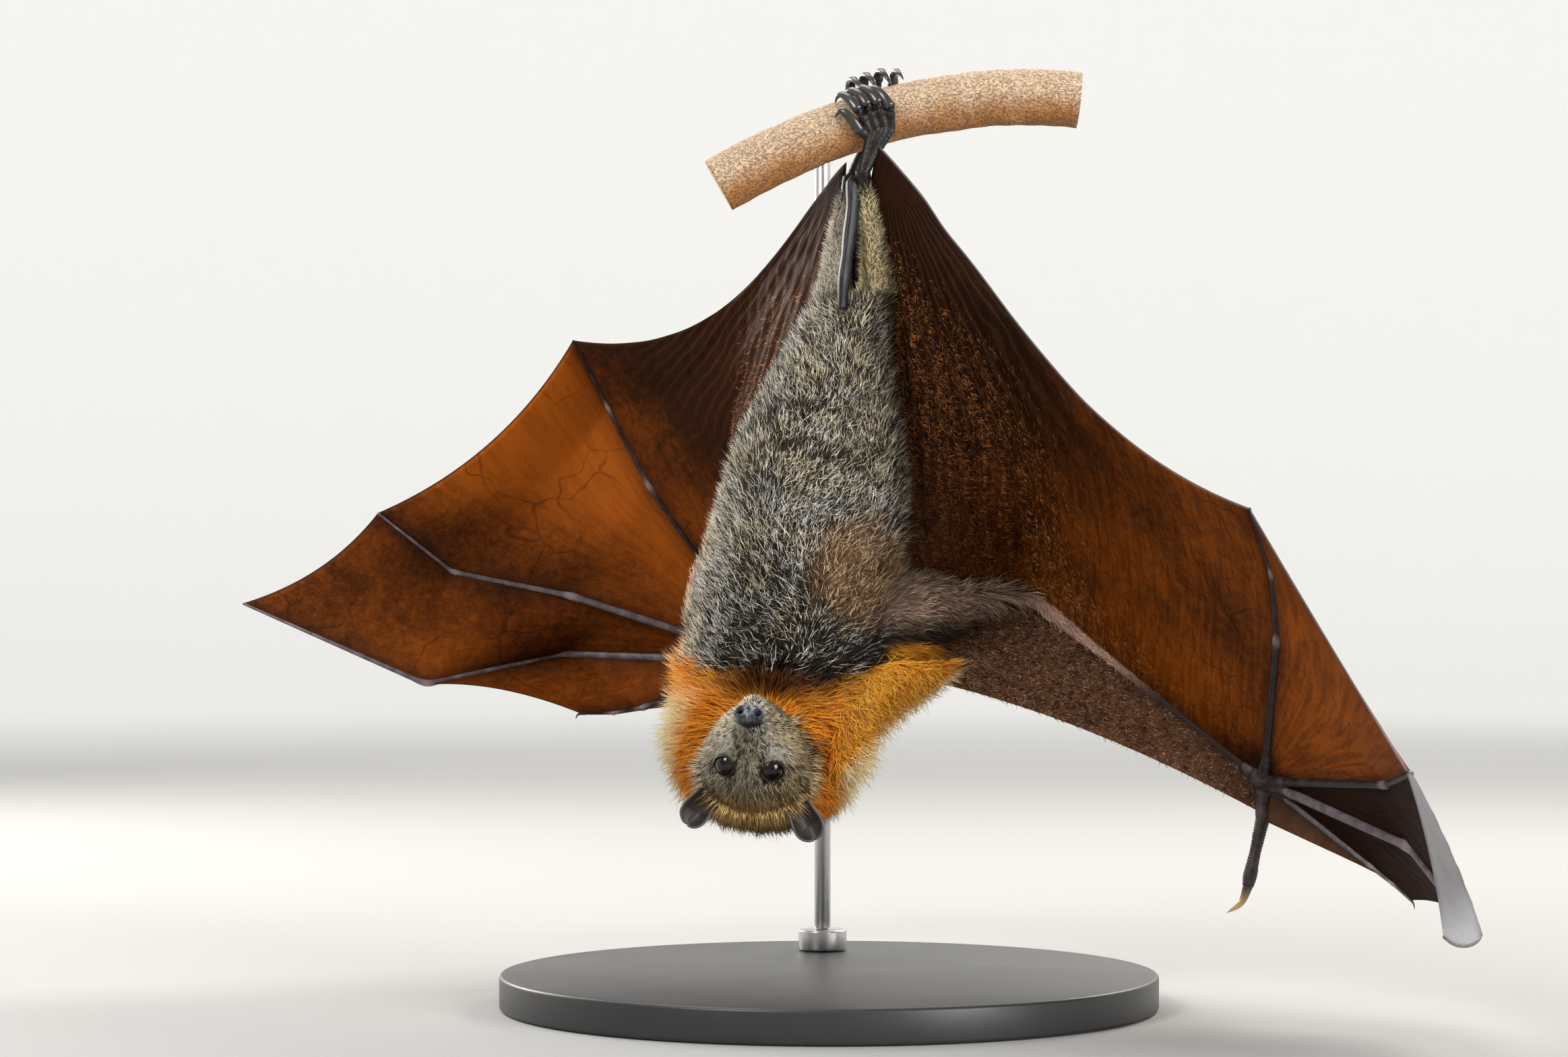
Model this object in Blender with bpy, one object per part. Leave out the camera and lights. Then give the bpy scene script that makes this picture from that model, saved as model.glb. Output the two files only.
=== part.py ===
"""A life-size grey-headed flying fox, hanging head down from a cut length of branch on a plain stand.

Metres, +Z up. The belly faces -Y, the bat's right side is at +X. The origin is in the middle of
the underside of the stand's base. The fur is inside the solids' outlines, to the tips of the coat.
"""

import math

import bmesh
import bpy
import numpy as np
from mathutils import Matrix, Vector
from mathutils.bvhtree import BVHTree

SEAM = 0.0004  # gap that parts two neighbouring pieces
SKIN = 0.0009  # thickness of the wing membranes

# Bone lengths of an adult. Digits 2 to 5 are the wing's fingers, digit 1 is the thumb.
HUMERUS = 0.110
FOREARM = 0.160
METACARPAL = {2: 0.072, 3: 0.112, 4: 0.110, 5: 0.115}
PHALANGES = {2: (0.015, 0.017), 3: (0.080, 0.105), 4: (0.062, 0.062), 5: (0.045, 0.042)}
THUMB = (0.014, 0.032)
THUMB_CLAW = 0.017

# Where each wing starts, and the way each of its bones points in the pose, shoulder to tip.
POSE = {
    "right": {
        "shoulder": (0.019, -0.010, 0.176),
        "humerus": (0.69, 0.70, 0.17),
        "forearm": (0.68, -0.48, -0.55),
        2: ((0.63, -0.58, -0.52), (0.50, -0.76, -0.42), (0.36, -0.86, -0.37)),
        3: ((0.48, -0.85, -0.21), (0.22, -0.89, -0.39), (-0.26, -0.96, 0.01)),
        4: ((0.39, -0.92, 0.04), (0.03, -0.99, 0.14), (-0.17, -0.98, 0.06)),
        5: ((-0.04, -0.80, 0.60), (-0.14, -0.73, 0.67), (-0.31, -0.68, 0.67)),
        "thumb": ((-0.06, -0.06, -0.99), (-0.22, -0.06, -0.97)),
        "thumb_claw": ((-0.40, -0.15, -0.90), (-0.80, -0.30, -0.50)),
    },
    "left": {
        "shoulder": (-0.059, 0.015, 0.169),
        "humerus": (0.15, 0.52, 0.84),
        "forearm": (0.10, 0.75, -0.66),
        2: ((-0.94, -0.06, -0.33), (-0.95, -0.25, -0.16), (-0.95, -0.30, 0.00)),
        3: ((-0.98, 0.20, 0.03), (-0.85, -0.49, -0.18), (-0.85, -0.34, 0.40)),
        4: ((-0.95, -0.05, 0.31), (-0.97, -0.10, 0.20), (-0.55, -0.68, 0.48)),
        5: ((-0.55, -0.27, 0.79), (-0.46, -0.08, 0.88), (-0.40, -0.49, 0.78)),
        "thumb": ((0.10, -0.10, -0.99), (0.05, -0.35, -0.93)),
        "thumb_claw": ((-0.05, -0.55, -0.83), (-0.15, -0.85, -0.45)),
    },
}
BONE_RADIUS = {2: 0.0015, 3: 0.0021, 4: 0.0019, 5: 0.0020}
TIP_RADIUS = 0.0007
KNUCKLE = 1.35  # how much wider a finger is at its joints
WRIST_REACH = 0.0135  # how far the wrist reaches along the fingers
EDGE_GAP = 0.0009  # from a bone's side to the middle of the membrane beside it
CORNER = math.radians(9)  # a line's turn that its points have to keep

# The branch it hangs from rises in an arch, and its cut length lies along X.
PERCH_RADIUS = 0.0132
PERCH_ENDS = (-0.052, 0.118)
PERCH_CROWN = (0.092, 0.428)
PERCH_ARCH = 2.0

# The stand.
BASE_RADIUS = 0.155
BASE_HEIGHT = 0.016
ROD_RADIUS = 0.004
POST_PLACE = (-0.002, 0.105)
COLLAR = (0.012, 0.010)

# The trunk's rows go up towards the feet: height, middle in X and in Y, half width, half depth.
BODY_TURN = math.radians(-14)  # the bat's right side is a little nearer than its left
TRUNK_ROWS = (
    (0.160, -0.0238, 0.004, 0.0505, 0.036),
    (0.172, -0.0206, 0.003, 0.0500, 0.038),
    (0.200, -0.0148, 0.002, 0.0500, 0.039),
    (0.232, -0.0075, 0.001, 0.0490, 0.037),
    (0.262, -0.0052, 0.001, 0.0430, 0.034),
    (0.290, -0.0005, 0.002, 0.0345, 0.030),
    (0.315, 0.0064, 0.003, 0.0262, 0.026),
    (0.336, 0.0118, 0.002, 0.0205, 0.021),
)
HIP_HEIGHT = 0.262
KNEE_HEIGHT = 0.334

# The neck's rows go down through the mantle of fur: the same five measures.
NECK_ROWS = (
    (0.160, -0.0238, 0.004, 0.0505, 0.036),
    (0.146, -0.0258, 0.006, 0.0515, 0.036),
    (0.128, -0.0295, 0.009, 0.0520, 0.035),
    (0.112, -0.0300, 0.010, 0.0490, 0.032),
    (0.096, -0.0295, 0.010, 0.0390, 0.026),
    (0.084, -0.0300, 0.010, 0.0220, 0.016),
)

# The head, measured from the tip of the nose: how far back, half width, height above and depth below.
NOSE_TIP = Vector((-0.0369, -0.075, 0.142))
HEAD_PITCH = math.radians(33)
HEAD_YAW = math.radians(-4.5)
HEAD_ROLL = math.radians(7.5)
HEAD_ROWS = (
    (0.0030, 0.0068, 0.0058, 0.0095),
    (0.0080, 0.0088, 0.0078, 0.0145),
    (0.0150, 0.0112, 0.0100, 0.0172),
    (0.0220, 0.0150, 0.0135, 0.0195),
    (0.0300, 0.0215, 0.0185, 0.0215),
    (0.0400, 0.0270, 0.0245, 0.0235),
    (0.0500, 0.0298, 0.0288, 0.0240),
    (0.0600, 0.0305, 0.0300, 0.0235),
    (0.0700, 0.0280, 0.0260, 0.0210),
)
COLLAR_BACK = 0.056  # where the head's solid ends and the neck's begins, behind the nose
EYE_RADIUS = 0.0063
EYE_PLACE = (0.0120, 0.0292)  # sideways, and back from the nose
EYE_DEPTH = 0.0043  # how far its centre lies under the coat
EAR_ROOT = (0.0500, 0.0200, 0.0155)  # back from the nose, sideways and up, inside the coat
EAR_TIP = (0.0635, 0.0320, 0.0300)
EAR_HALF_WIDTH = 0.0082
EAR_THICKNESS = 0.0012

# The lower legs: the middle line from knee to ankle, and its radii.
SHANKS = {
    "right": ((0.0235, 0.000, KNEE_HEIGHT), (0.0215, -0.006, 0.362), (0.0165, -0.0135, 0.388)),
    "left": ((0.0022, 0.004, KNEE_HEIGHT), (0.0050, 0.008, 0.362), (0.0095, 0.0150, 0.386)),
}
SHANK_RADII = {"right": (0.0098, 0.0074, 0.0046), "left": (0.0092, 0.0066, 0.0044)}

# The upper arm's half height and half depth at shares of its length, from inside the shoulder out.
UPPER_ARM_ROWS = {
    "right": (
        (-0.10, 0.008, 0.006),
        (0.06, 0.021, 0.012),
        (0.25, 0.0260, 0.0165),
        (0.42, 0.0225, 0.0155),
        (0.58, 0.0155, 0.0120),
        (0.74, 0.0100, 0.0090),
        (0.88, 0.0074, 0.0074),
    ),
    "left": (
        (-0.06, 0.006, 0.006),
        (0.10, 0.0150, 0.0130),
        (0.28, 0.0165, 0.0145),
        (0.45, 0.0140, 0.0130),
        (0.62, 0.0105, 0.0100),
        (0.76, 0.0082, 0.0082),
        (0.88, 0.0072, 0.0072),
    ),
}
ARM_SIDES = 12
ELBOW_BEND = 0.017  # how far from the elbow's corner the arm starts to bend
ELBOW_RADIUS = 0.0069

# The forearm's radius at shares of its length.
FOREARM_ROWS = ((0.15, 0.0078), (0.35, 0.0062), (0.65, 0.0045), (0.90, 0.0042), (0.96, 0.0048))

# How far each free edge of the wing is drawn in at its deepest place.
FREE_EDGE_SAG = {
    ("right", "plagio"): (-0.0118, 0.004, -0.0122),
    ("right", 4): (0.0, 0.003, 0.0),
    ("right", 3): (0.002, 0.002, 0.0),
    ("right", 2): (0.003, 0.004, 0.004),
    ("left", "plagio"): (0.0145, 0.000, -0.0225),
    ("left", 4): (0.007, 0.003, -0.008),
    ("left", 3): (0.004, 0.003, -0.005),
    ("left", 2): (-0.002, 0.003, 0.005),
}
SIDE_EDGE_SKEW = {"right": 1.58, "left": 1.3}

# Where the side membrane leaves the body, from the foot down the leg and flank to the armpit.
FLANK = {
    "right": (
        (0.0175, -0.0160, 0.4020),
        (0.0168, -0.0120, 0.3900),
        (0.0185, -0.0070, 0.3760),
        (0.0220, -0.0020, 0.3500),
        (0.0120, 0.0030, 0.3200),
        (0.0010, 0.0050, 0.2900),
        (-0.0050, 0.0080, 0.2550),
        (-0.0090, 0.0080, 0.2190),
    ),
    "left": (
        (0.0118, 0.0158, 0.3980),
        (0.0100, 0.0150, 0.3870),
        (0.0080, 0.0110, 0.3700),
        (0.0040, 0.0070, 0.3500),
        (0.0060, 0.0050, 0.3200),
        (0.0020, 0.0060, 0.2900),
        (-0.0040, 0.0080, 0.2600),
        (-0.0090, 0.0100, 0.2250),
    ),
}
FLANK_WAY = {"right": (1.0, 0.10, 0.0), "left": (-0.86, 0.50, 0.0)}
FLANK_GAP = 0.0022  # from the coat to the middle of the membrane's edge

# Where the membranes meet the upper arm, as shares of its length, and how the front one leaves the shoulder.
SIDE_ARM_SHARES = {"right": (0.26, 0.38, 0.50, 0.62, 0.74), "left": (0.60, 0.68, 0.76)}
FRONT_ARM_SHARES = {"right": (0.40, 0.52, 0.64, 0.76, 0.88), "left": (0.62, 0.70, 0.78, 0.86)}
FRONT_MEMBRANE = {
    "right": {"root": (0.020, -0.004, 0.158), "sag": (-0.004, 0.010, 0.010), "way": (1.0, 0.3, -0.35)},
    "left": {"root": (-0.048, 0.015, 0.145), "sag": (0.0, -0.006, 0.010), "way": (-0.35, 1.0, 0.0)},
}

# Toes: where each lies along the perch at its root and at its last joint, and how high it climbs.
TOES = {
    "right": (
        (0.0150, 0.0130, -34, -16),
        (0.0172, 0.0150, -22, 20),
        (0.0204, 0.0196, -20, 24),
        (0.0242, 0.0245, -20, 22),
        (0.0276, 0.0292, -24, 10),
    ),
    "left": (
        (0.0150, 0.0145, -30, 0),
        (0.0166, 0.0185, -20, 44),
        (0.0200, 0.0245, -18, 48),
        (0.0240, 0.0305, -18, 50),
        (0.0280, 0.0350, -24, 30),
    ),
}
TOE_RADIUS = 0.0022
CLAW_REACH = 0.0085
FOOT_FRONT = {"right": 1, "left": -1}

COLOURS = {
    "grey_fur": (0.17, 0.16, 0.13),
    "orange_fur": (0.62, 0.23, 0.04),
    "face_fur": (0.26, 0.23, 0.16),
    "leg_fur": (0.20, 0.16, 0.09),
    "bare_skin": (0.025, 0.022, 0.022),
    "membrane": (0.10, 0.035, 0.012),
    "eye": (0.02, 0.010, 0.006),
    "claw": (0.03, 0.024, 0.020),
    "bark": (0.62, 0.50, 0.40),
    "stand_black": (0.03, 0.03, 0.032),
    "stand_steel": (0.55, 0.55, 0.56),
}
FINISH = {"eye": (0.05, 0.0), "stand_steel": (0.3, 1.0), "claw": (0.35, 0.0), "bare_skin": (0.5, 0.0)}


def clear_scene():
    for obj in list(bpy.data.objects):
        bpy.data.objects.remove(obj, do_unlink=True)


def material(slot):
    """One Principled material for each finish, made at its first use."""
    found = bpy.data.materials.get(slot)
    if found:
        return found
    made = bpy.data.materials.new(slot)
    made.use_nodes = True
    shader = made.node_tree.nodes["Principled BSDF"]
    roughness, metallic = FINISH.get(slot, (0.8, 0.0))
    shader.inputs["Base Color"].default_value = (*COLOURS[slot], 1.0)
    shader.inputs["Roughness"].default_value = roughness
    shader.inputs["Metallic"].default_value = metallic
    made.diffuse_color = (*COLOURS[slot], 1.0)
    return made


def add_piece(name, bm, slot, smooth=True):
    """The mesh as a named object, with its faces turned outwards."""
    bmesh.ops.recalc_face_normals(bm, faces=bm.faces[:])
    mesh = bpy.data.meshes.new(name)
    bm.to_mesh(mesh)
    bm.free()
    mesh.materials.append(material(slot))
    if smooth:
        mesh.shade_smooth()
        mesh.set_sharp_from_angle(angle=math.radians(50))
    piece = bpy.data.objects.new(name, mesh)
    bpy.context.scene.collection.objects.link(piece)
    return piece


def as_cutter(piece):
    piece.hide_render = True
    piece.display_type = "WIRE"
    return piece


def boolean(piece, operation, other):
    """A live Boolean on the piece. The other object stays as a hidden guide."""
    step = piece.modifiers.new(operation.title(), "BOOLEAN")
    step.operation = operation
    step.solver = "EXACT"
    step.object = as_cutter(other)


def surface_of(piece):
    """A tree of the piece's evaluated surface, to seat its neighbours on."""
    bpy.context.view_layer.update()
    graph = bpy.context.evaluated_depsgraph_get()
    return BVHTree.FromObject(piece, graph)


def seated(tree, point, outward, reach=0.05, gap=SEAM):
    """Where a neighbour starts: the last point on the line that still stands a gap off the surface."""
    outward = outward.normalized()
    hit, normal, _, _ = tree.ray_cast(point + outward * reach, -outward, reach * 2)
    if hit is None:
        return point
    slant = max(abs(normal.dot(outward)), 0.35)
    return hit + outward * (gap / slant)


def smooth_rows(rows, count):
    """The rows read at evenly spaced places along smooth curves through them."""
    table = np.array(rows, float)
    places = np.arange(len(table))
    wanted = np.linspace(0, len(table) - 1, count)
    slopes = np.gradient(table, axis=0)
    low = np.clip(wanted.astype(int), 0, len(table) - 2)
    t = (wanted - places[low])[:, None]
    blend = 3 * t**2 - 2 * t**3
    lift = t * (1 - t) ** 2 * slopes[low] - t**2 * (1 - t) * slopes[low + 1]
    return table[low] * (1 - blend) + table[low + 1] * blend + lift


def oval(centre, side, up, half_width, above, below, count):
    """A closed ring of points round an egg-shaped section."""
    ring = []
    for k in range(count):
        angle = 2 * math.pi * k / count
        across = math.cos(angle) * half_width
        high = math.sin(angle)
        ring.append(centre + side * across + up * high * (above if high > 0 else below))
    return ring


def skin_rings(rings, close_start=True, close_end=True):
    """A mesh through rings of the same number of points, closed by flat ends."""
    bm = bmesh.new()
    made = [[bm.verts.new(point) for point in ring] for ring in rings]
    for lower, upper in zip(made, made[1:]):
        count = len(lower)
        for k in range(count):
            following = (k + 1) % count
            bm.faces.new((lower[k], lower[following], upper[following], upper[k]))
    for ring, wanted in ((made[0], close_start), (made[-1], close_end)):
        if wanted:
            fan_end(bm, ring)
    return bm


def fan_end(bm, ring):
    middle = sum((vert.co for vert in ring), Vector()) / len(ring)
    hub = bm.verts.new(middle)
    for k, vert in enumerate(ring):
        bm.faces.new((vert, ring[(k + 1) % len(ring)], hub))


def part_at(bm, place, normal):
    """Cuts the mesh at a plane, drops what lies on the normal's side and closes the cut."""
    geometry = bm.verts[:] + bm.edges[:] + bm.faces[:]
    cut = bmesh.ops.bisect_plane(
        bm, geom=geometry, dist=1e-7, plane_co=place, plane_no=normal, clear_outer=True
    )
    edges = [item for item in cut["geom_cut"] if isinstance(item, bmesh.types.BMEdge)]
    bmesh.ops.contextual_create(bm, geom=edges)
    bmesh.ops.triangulate(bm, faces=[face for face in bm.faces if len(face.verts) > 4])


def body_axes():
    side = Vector((math.cos(BODY_TURN), math.sin(BODY_TURN), 0))
    back = Vector((-math.sin(BODY_TURN), math.cos(BODY_TURN), 0))
    return side, back


def body_rings(rows, count, sides, grow=0.0):
    """Level rings of the furred body, swollen by grow."""
    side, back = body_axes()
    rings = []
    for height, x, y, width, depth in smooth_rows(rows, count):
        centre = Vector((x, y, height))
        rings.append(oval(centre, side, back, width + grow, depth + grow, depth + grow, sides))
    return rings


def rows_between(rows, low, high):
    """The body's own rows between two heights, with one at each of the two."""
    table = smooth_rows(rows, 60)
    table = table[np.argsort(table[:, 0])]
    inner = [row[0] for row in rows if low + 0.004 < row[0] < high - 0.004]
    heights = [low, *sorted(inner), high]
    return [
        [height, *(np.interp(height, table[:, 0], table[:, k]) for k in range(1, 5))] for height in heights
    ]


def build_trunk():
    rows = rows_between(TRUNK_ROWS, TRUNK_ROWS[0][0], HIP_HEIGHT)
    return add_piece("trunk", skin_rings(body_rings(rows, 7, 24)), "grey_fur")


def build_thighs():
    """The hips and thighs, parted down the middle and drawn in between the knees."""
    side, back = body_axes()
    made = {}
    for name, sign in (("left", -1), ("right", 1)):
        rows = rows_between(TRUNK_ROWS, HIP_HEIGHT + SEAM, KNEE_HEIGHT)
        bm = skin_rings(body_rings(rows, 6, 18))
        middle = Vector((0.0032, 0.002, 0.298))
        lean = Vector((0.235, 0, 1)).normalized()
        across = back.cross(lean).normalized()
        across = across if across.dot(side) > 0 else -across
        part_at(bm, middle + across * (sign * SEAM / 2), -across * sign)
        made[name] = add_piece(f"thigh_{name}", bm, "grey_fur")
    return made


def tube_frames(path, first_side=None):
    """A side and an up direction at each point of a path, turned as little as possible."""
    side = first_side or (path[1] - path[0]).orthogonal()
    frames = []
    for k in range(len(path)):
        ahead = (path[min(k + 1, len(path) - 1)] - path[max(k - 1, 0)]).normalized()
        side = (side - ahead * side.dot(ahead)).normalized()
        frames.append((side, ahead.cross(side)))
    return frames


def tube_rings(path, radii, sides):
    """Round rings along a path."""
    return [
        oval(point, side, up, radius, radius, radius, sides)
        for point, radius, (side, up) in zip(path, radii, tube_frames(path))
    ]


def shank_way(name):
    return (Vector(SHANKS[name][-1]) - Vector(SHANKS[name][-2])).normalized()


def build_shanks():
    made = {}
    for name, points in SHANKS.items():
        path = [Vector(row) for row in smooth_rows(points, 5)]
        path.append(path[-1] + shank_way(name) * 0.004)
        radii = [row[0] for row in smooth_rows([(r,) for r in SHANK_RADII[name]], 5)]
        rings = tube_rings(path, [*radii, radii[-1]], 10)
        rings[0] = [Vector((point.x, point.y, KNEE_HEIGHT + SEAM)) for point in rings[0]]
        bm = skin_rings(rings)
        part_at(bm, Vector(points[-1]), shank_way(name))
        made[name] = add_piece(f"shank_{name}", bm, "leg_fur")
    return made


def build_neck(head_guide):
    """The neck in its mantle of long fur, which wraps round the back of the head."""
    rings = body_rings([(row[0] - SEAM, *row[1:]) for row in NECK_ROWS], 9, 22)
    side, back = body_axes()
    lowest = Vector(NECK_ROWS[-1][1:3]).to_3d() + Vector((0, 0, NECK_ROWS[-1][0] - 0.004))
    rings.append(oval(lowest, side, back, 0.010, 0.008, 0.008, 22))
    neck = add_piece("neck", skin_rings(rings), "orange_fur")
    boolean(neck, "DIFFERENCE", head_guide)
    return neck


def head_frame():
    """The head's own directions: forward along the muzzle, to the bat's right, and up to the crown."""
    turn = (
        Matrix.Rotation(HEAD_YAW, 3, "Z")
        @ Matrix.Rotation(-HEAD_PITCH, 3, "X")
        @ Matrix.Rotation(HEAD_ROLL, 3, "Y")
    )
    return turn @ Vector((0, -1, 0)), turn @ Vector((1, 0, 0)), turn @ Vector((0, 0, -1))


def head_point(axes, back, across, high):
    forward, side, crown = axes
    return NOSE_TIP - forward * back + side * across + crown * high


def head_piece(name, axes, grow):
    """The head up to the collar, swollen by grow."""
    forward, side, crown = axes
    rings = []
    for back, width, above, below in smooth_rows(HEAD_ROWS, 12):
        centre = NOSE_TIP - forward * back
        rings.append(oval(centre, side, crown, width + grow, above + grow, below + grow, 18))
    bm = skin_rings(rings)
    part_at(bm, NOSE_TIP - forward * (COLLAR_BACK + grow), -forward)
    return add_piece(name, bm, "face_fur")


def build_head(axes):
    forward, side, crown = axes
    head = head_piece("head", axes, 0.0)
    tree = surface_of(head)
    for name, sign in (("left", -1), ("right", 1)):
        over = head_point(axes, EYE_PLACE[1], EYE_PLACE[0] * sign, 0.05)
        look = (crown * 0.80 + side * 0.52 * sign + forward * 0.30).normalized()
        surface, _, _, _ = tree.ray_cast(over, -crown, 0.1)
        centre = surface - look * EYE_DEPTH
        socket = ball(f"eye_socket_{name}", centre, EYE_RADIUS + SEAM, "face_fur")
        boolean(head, "DIFFERENCE", socket)
        ball(f"eye_{name}", centre, EYE_RADIUS, "eye")
    return tree


def ball(name, centre, radius, slot):
    bm = bmesh.new()
    bmesh.ops.create_uvsphere(bm, u_segments=12, v_segments=8, radius=radius)
    bmesh.ops.translate(bm, verts=bm.verts[:], vec=centre)
    return add_piece(name, bm, slot)


def build_nose(axes):
    """The bare nose pad between the muzzle's end and the tip."""
    forward, side, crown = axes
    rings = []
    for back, width, above, below in (
        (0.0030 - SEAM, 0.0062, 0.0050, 0.0048),
        (0.0015, 0.0064, 0.0050, 0.0046),
        (0.0002, 0.0054, 0.0040, 0.0036),
        (-0.0006, 0.0030, 0.0022, 0.0020),
    ):
        rings.append(oval(NOSE_TIP - forward * back, side, crown, width, above, below, 14))
    add_piece("nose_pad", skin_rings(rings), "bare_skin")


def build_ear(name, sign, axes, head_tree):
    """A thin rounded cup whose foot follows the fur of the head."""
    forward, side, crown = axes
    root, tip = (head_point(axes, back, out * sign, high) for back, out, high in (EAR_ROOT, EAR_TIP))
    grow = (tip - root).normalized()
    open_way = (forward * 0.75 + side * 0.25 * sign + crown * 0.55).normalized()
    across = grow.cross(open_way).normalized()
    open_way = across.cross(grow).normalized()
    open_way = open_way if open_way.dot(forward) > 0 else -open_way
    columns, rows = 8, 6
    grid = []
    for j in range(rows + 1):
        along = j / rows
        half = EAR_HALF_WIDTH * math.sqrt(max(1 - (max(along - 0.30, 0) / 0.715) ** 2, 0.03))
        line = []
        for i in range(columns + 1):
            u = 2 * i / columns - 1
            foot = seated(head_tree, root + across * (half * u), grow, gap=0.0010)
            top = tip + across * (half * u)
            cup = open_way * (0.5 * half * u * u)
            line.append(foot.lerp(top, along) + cup * min(1, along * 3))
        grid.append(line)
    sheet_piece(f"ear_{name}", grid, "bare_skin", EAR_THICKNESS)


def unit(direction):
    return Vector(direction).normalized()


def wing_joints(pose):
    """Every joint of one wing, worked out from the bone lengths and the pose."""
    shoulder = Vector(pose["shoulder"])
    elbow = shoulder + unit(pose["humerus"]) * HUMERUS
    wrist = elbow + unit(pose["forearm"]) * FOREARM
    joints = {"shoulder": shoulder, "elbow": elbow, "wrist": wrist}
    for digit in METACARPAL:
        chain = [wrist]
        for direction, length in zip(pose[digit], (METACARPAL[digit], *PHALANGES[digit])):
            chain.append(chain[-1] + unit(direction) * length)
        joints[digit] = chain
    chain = [wrist + unit(pose["thumb"][0]) * 0.004]
    for direction, length in zip(pose["thumb"], THUMB):
        chain.append(chain[-1] + unit(direction) * length)
    joints["thumb"] = chain
    claw = [chain[-1]]
    for direction in pose["thumb_claw"]:
        claw.append(claw[-1] + unit(direction) * THUMB_CLAW / 2)
    joints["thumb_claw"] = claw
    return joints


def finger_radius(digit, bone, along):
    """The finger's radius at a share of the way along one of its three bones."""
    start = BONE_RADIUS[digit] * (1.0, 0.72, 0.5)[bone]
    end = (BONE_RADIUS[digit] * (0.8, 0.55)[bone]) if bone < 2 else TIP_RADIUS
    radius = start + (end - start) * along
    swell = 0.0
    if bone < 2:
        swell = max(0.0, 1 - (1 - along) / 0.06)
    if bone > 0:
        swell = max(swell, 1 - along / 0.06)
    return radius * (1 + (KNUCKLE - 1) * max(swell, 0.0))


def finger_path(joints, digit):
    """Points and radii along a finger, from just past the wrist to its tip."""
    chain = joints[digit]
    points, radii = [], []
    for bone in range(3):
        start, end = chain[bone], chain[bone + 1]
        length = (end - start).length
        first = WRIST_REACH / length if bone == 0 else 0.0
        shares = [0.0, 0.07, 0.5, 0.93] if bone else [first, 0.5, 0.93]
        shares = shares if bone < 2 else [*shares, 1.0]
        for share in shares:
            points.append(start.lerp(end, share))
            radii.append(finger_radius(digit, bone, share))
    return points, radii


def build_fingers(name, joints):
    for digit in METACARPAL:
        points, radii = finger_path(joints, digit)
        add_piece(f"digit_{digit}_{name}", skin_rings(tube_rings(points, radii, 6)), "bare_skin")


def build_thumb(name, joints):
    chain = joints["thumb"]
    start = chain[0].lerp(chain[1], 0.45)
    path = [start, chain[1], chain[1].lerp(chain[2], 0.5), chain[2]]
    radii = [0.0030, 0.0026, 0.0021, 0.0026]
    add_piece(f"thumb_{name}", skin_rings(tube_rings(path, radii, 8)), "bare_skin")
    claw = joints["thumb_claw"]
    first = (claw[1] - claw[0]).normalized()
    rows = smooth_rows([tuple(point) for point in claw], 5)
    path = [Vector(row) + first * 0.0012 for row in rows]
    radii = [0.0024, 0.0022, 0.0018, 0.0012, 0.0005]
    add_piece(f"thumb_claw_{name}", skin_rings(tube_rings(path, radii, 8)), "claw")


def elbow_curve(joints, share):
    """A point on the rounded elbow, and the way the arm runs there. The share goes from 0 to 1."""
    corner = joints["elbow"]
    start = corner + (joints["shoulder"] - corner).normalized() * ELBOW_BEND
    end = corner + (joints["wrist"] - corner).normalized() * ELBOW_BEND
    point = start * (1 - share) ** 2 + corner * 2 * share * (1 - share) + end * share**2
    way = (corner - start) * (1 - share) + (end - corner) * share
    return point, way.normalized()


def elbow_rings(joints, shares, sides, hinge):
    """Rings round the bend, which share one hinge direction so that they don't twist."""
    rings = []
    for share in shares:
        point, way = elbow_curve(joints, share)
        rings.append(oval(point, hinge, way.cross(hinge), *[ELBOW_RADIUS] * 3, sides))
    return rings


def arm_hinge(joints):
    upper = joints["elbow"] - joints["shoulder"]
    return upper.cross(joints["wrist"] - joints["elbow"]).normalized()


def build_upper_arm(name, joints, body):
    """The upper arm, broad where it leaves the chest and slim at the elbow."""
    shoulder, elbow = joints["shoulder"], joints["elbow"]
    along = (elbow - shoulder).normalized()
    hinge = arm_hinge(joints)
    upright = Vector((0, 0, 1)) if name == "right" else hinge
    tall_way = (upright - along * upright.dot(along)).normalized()
    rings = []
    for share, tall, deep in UPPER_ARM_ROWS[name]:
        centre = shoulder.lerp(elbow, share)
        rings.append(oval(centre, tall_way, along.cross(tall_way), tall, deep, deep, ARM_SIDES))
    bend = elbow_rings(joints, (0.25, 0.48), ARM_SIDES, hinge)
    rings += [match_start(ring, rings[-1]) for ring in bend]
    arm = add_piece(f"upper_arm_{name}", skin_rings(rings), "orange_fur")
    boolean(arm, "DIFFERENCE", body)
    return arm


def match_start(ring, before):
    """The ring with its points numbered from the one nearest the other ring's first, the same way round."""
    count = len(ring)
    orders = [
        [ring[(k * turn + first) % count] for k in range(count)] for first in range(count) for turn in (1, -1)
    ]
    return min(orders, key=lambda order: sum((a - b).length for a, b in zip(order, before)))


def build_forearm(name, joints):
    elbow, wrist = joints["elbow"], joints["wrist"]
    hinge = arm_hinge(joints)
    along = (wrist - elbow).normalized()
    rings = elbow_rings(joints, (0.52, 0.75), ARM_SIDES, hinge)
    for share, radius in FOREARM_ROWS:
        centre = elbow.lerp(wrist, share)
        rings.append(oval(centre, hinge, along.cross(hinge), radius, radius, radius, ARM_SIDES))
    return add_piece(f"forearm_{name}", skin_rings(rings), "leg_fur")


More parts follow.
